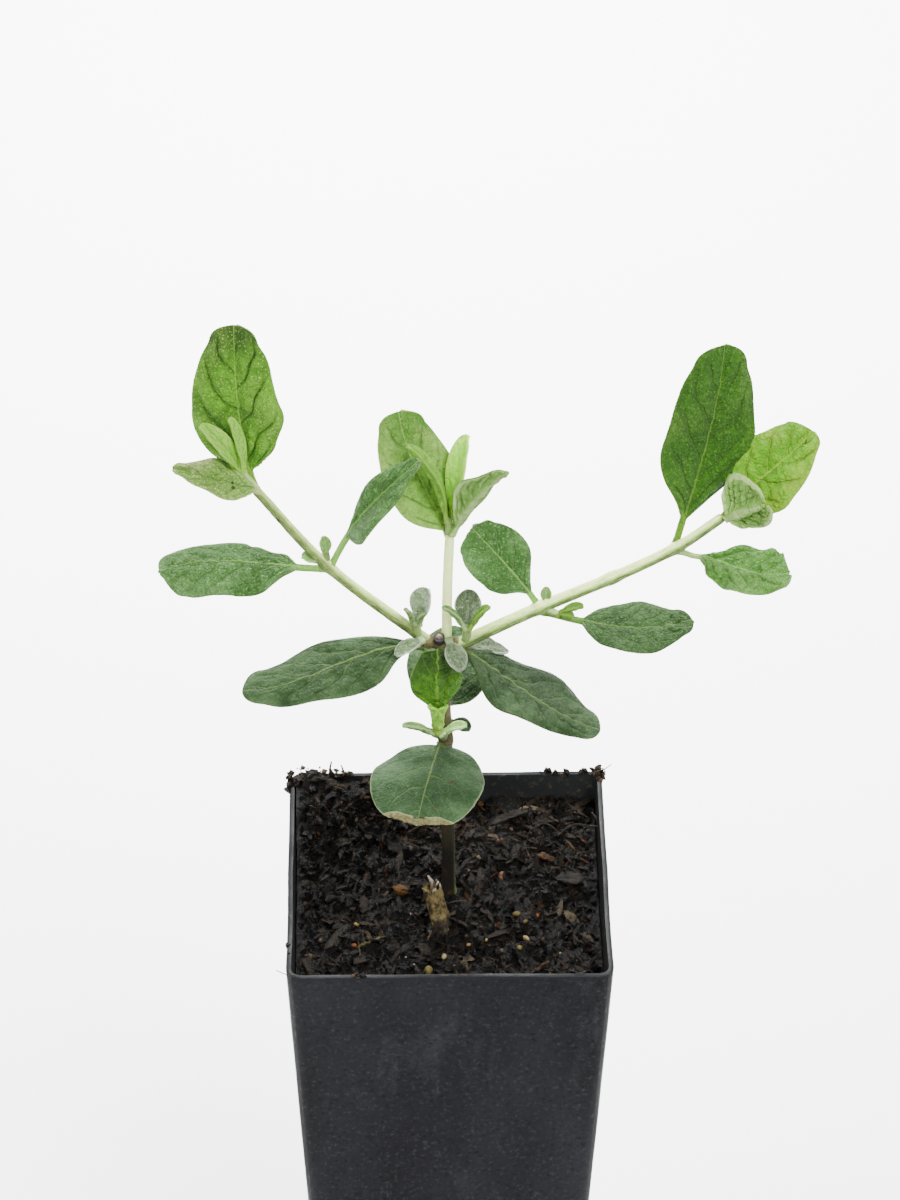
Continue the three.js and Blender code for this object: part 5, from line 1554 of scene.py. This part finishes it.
grains = {
    "tones": {
        "straw": (190, 156, 88), "bone": (222, 214, 196), "cream": (204, 184, 128), "rust": (180, 104, 62),
        "olive": (136, 122, 64), "brown": (124, 80, 48), "dust": (146, 126, 96),
    },
    "spots": (                              # tone, place across and back, size
        ("straw", -14.4, -6.1, 0.9), ("straw", 3.1, -10.8, 0.95), ("straw", 5.8, -10.3, 0.8),
        ("olive", 10.7, -5.6, 1.3), ("olive", 11.9, -7.3, 0.9), ("rust", 14.0, -4.4, 1.2),
        ("cream", 12.0, -10.2, 1.2), ("cream", 12.4, -9.5, 0.7), ("olive", 11.0, -12.7, 1.2),
        ("rust", -19.9, -9.8, 0.75), ("rust", -14.7, -11.5, 1.1), ("dust", -12.7, 22.0, 2.0),
        ("cream", -0.8, -13.6, 1.2), ("olive", -3.3, -17.7, 1.9), ("bone", -5.9, -4.0, 0.5),
        ("bone", -6.7, -14.0, 0.55), ("bone", -5.4, -16.4, 0.5), ("cream", 0.6, -16.0, 0.6),
        ("brown", 8.4, 11.8, 1.0), ("brown", 8.6, 5.4, 2.0), ("dust", 10.4, 15.8, 0.8),
        ("dust", 20.6, 3.0, 0.7), ("cream", 14.8, 22.6, 0.9), ("brown", 5.6, 22.8, 1.5),
        ("dust", -16.0, 5.0, 0.6), ("dust", -9.0, -19.4, 0.9), ("dust", 17.2, -14.6, 0.8),
        ("brown", -20.4, 12.2, 0.8),
    ),
}


def buildGrains():                          # the few light seeds and grains of grit
    parts = []
    for number, (tone, x, y, size) in enumerate(grains["spots"]):
        grain = startFrom("ico_sphere", f"grain{number}", subdivisions=2, radius=0.42 * size * mm)
        points = readPoints(grain)
        waves = rippled(points[:, 0] / mm * 2 / size, points[:, 1] / mm * 2 / size, 400 + number, 2.4)
        points *= 1 + 0.25 * waves[:, None]
        points *= (1.15, 0.8, 0.7)
        writePoints(grain, points)
        lie = Matrix.Rotation(0.9 * number, 4, "Z") @ Matrix.Rotation(0.3, 4, "Y")
        grain.data.transform(Matrix.Translation(Vector((x, y, bedTop(x, y) + 0.3 * size)) * mm) @ lie)
        writeTrait(grain, "shade", np.tile(screen(*grains["tones"][tone], 0.72)[:3], (len(points), 1)))
        parts.append(grain)
    whole = joinAll(parts, "mixGrains")
    bpy.ops.object.shade_smooth()
    material, shader = startPaint("gritPaint", {"Roughness": 0.55, "Specular IOR Level": 0.12})
    own = node("Attribute", {"attribute_name": "shade"}).outputs["Color"]
    fine = cloudy(ownPlace(), 2200, 4, 0.7)
    finishPaint(shader, tinted(ramped(fine, 0.5, 0.34, 0.0, 0.75), own, screen(48, 32, 18)), fine, 0.3)
    whole.data.materials.append(material)
    finishPiece(whole, "potting_mix", "potting_mix")


stub = {
    "tube": {"points": ((1.2, -8.4, 106), (-2.6, -5.2, 121.4)), "radii": (1.65, 1.4), "rings": 110, "sides": 48,
             "ribs": 0.03, "rough": 0.06, "seed": 61, "domed": False},
    "ringAt": 11.0, "rim": 0.42, "hollow": 1.6,
    "splinters": (
        {"points": ((-2.5, -4.9, 119.8), (-2.5, -4.8, 121.8), (-3.2, -4.8, 123.4)), "radii": (0.5, 0.1)},
        {"points": ((-2.6, -5.5, 120.2), (-3.6, -5.6, 121.0), (-4.1, -5.6, 121.5)), "radii": (0.3, 0.12)},
        {"points": ((-2.3, -5.0, 120.2), (-1.9, -4.9, 121.4), (-1.5, -4.8, 122.2)), "radii": (0.3, 0.1)},
    ),
    "splinter": {"rings": 30, "sides": 10, "rough": 0.16},
}


def stubPaint(name):
    material, shader = startPaint(name, {"Roughness": 0.8, "Specular IOR Level": 0.25})
    spot = ownPlace()
    z = parted(spot)[2]
    streaks = cloudy(stretched(spot, (1, 1, 0.3)), 1100, 5, 0.7)
    patches = cloudy(spot, 700, 4, 0.7)
    moss = cloudy(spot, 1500, 3, 0.7)
    colour = coated(
        screen(62, 52, 40),
        (ramped(z, 0.1162, 0.1176), screen(132, 114, 68)),
        (ramped(streaks, 0.5, 0.66, 0.0, 0.6), screen(164, 146, 98)),
        (ramped(moss, 0.54, 0.64, 0.0, 0.6), screen(134, 132, 60)),
        (ramped(patches, 0.5, 0.6, 0.0, 0.9), screen(48, 34, 20)),
        (ramped(z, 0.1213, 0.1222, 0.0, 0.9), screen(214, 198, 178, 1.3)),
        (ramped(streaks, 0.49, 0.36, 0.0, 0.85), screen(34, 25, 15)),
    )
    finishPaint(shader, colour, plus(streaks, patches), 0.5, 0.9)
    return material


def buildStub():
    body = buildTube("oldStub", stub["tube"])
    points = readPoints(body) / mm
    foot, top = (np.array(end) for end in stub["tube"]["points"])
    axis = (top - foot) / np.linalg.norm(top - foot)
    far = (points - foot) @ axis
    angle = np.arctan2(points[:, 1] - foot[1] - far * axis[1], points[:, 0] - foot[0] - far * axis[0])
    coarse = rippled(np.cos(angle) * 2, np.sin(angle) * 2, 66, 2.1)
    fine = rippled(np.cos(angle) * 5, np.sin(angle) * 5, 67, 2.0)
    jag = (0.5 * coarse + 0.3 * fine) * soft(far, far.max() - 2, far.max())
    ringAt = stub["ringAt"]
    ring = 0.16 * np.exp(-((far - ringAt) / 0.35) ** 2) - 0.12 * np.exp(-((far - ringAt - 0.7) / 0.25) ** 2)
    centre = foot + far[:, None] * axis
    out = points - centre
    spread = np.maximum(np.linalg.norm(out, axis=1), 1e-6)[:, None]
    writePoints(body, (centre + out * (1 + ring[:, None] / spread) + jag[:, None] * axis) * mm)
    # the torn top is hollow
    pickParts(body, "FACE", lambda face: len(face.verts) > 6 and face.calc_center_median().z > 0.115)
    bpy.ops.mesh.inset(thickness=stub["rim"] * mm)
    bpy.ops.transform.translate(value=tuple(-stub["hollow"] * mm * a for a in axis))
    bpy.ops.object.mode_set(mode="OBJECT")
    parts = [body]
    for number, look in enumerate(stub["splinters"]):
        parts.append(buildTube(f"splinter{number}", {**stub["splinter"], **look, "seed": 70 + number}))
    whole = joinAll(parts, "oldStub")
    whole.data.materials.append(stubPaint("oldWood"))
    finishPiece(whole, "old_wood", "old_stem_stub")


# ---- everything in order

addCamera()
addLight()
print("camera, floor and light are set")
buildPot()
print("pot is moulded")
buildSoil()
buildScatter()
print("potting mix is filled")
buildChips()
buildStrands()
buildGrains()
buildStub()
print("chips and stub are laid")
buildMainStem()
buildBranches()
print("stems are grown")
buildLeaves()
print("leaves are grown:", leafCount["made"])
buildShoots()
print("shoots are grown")
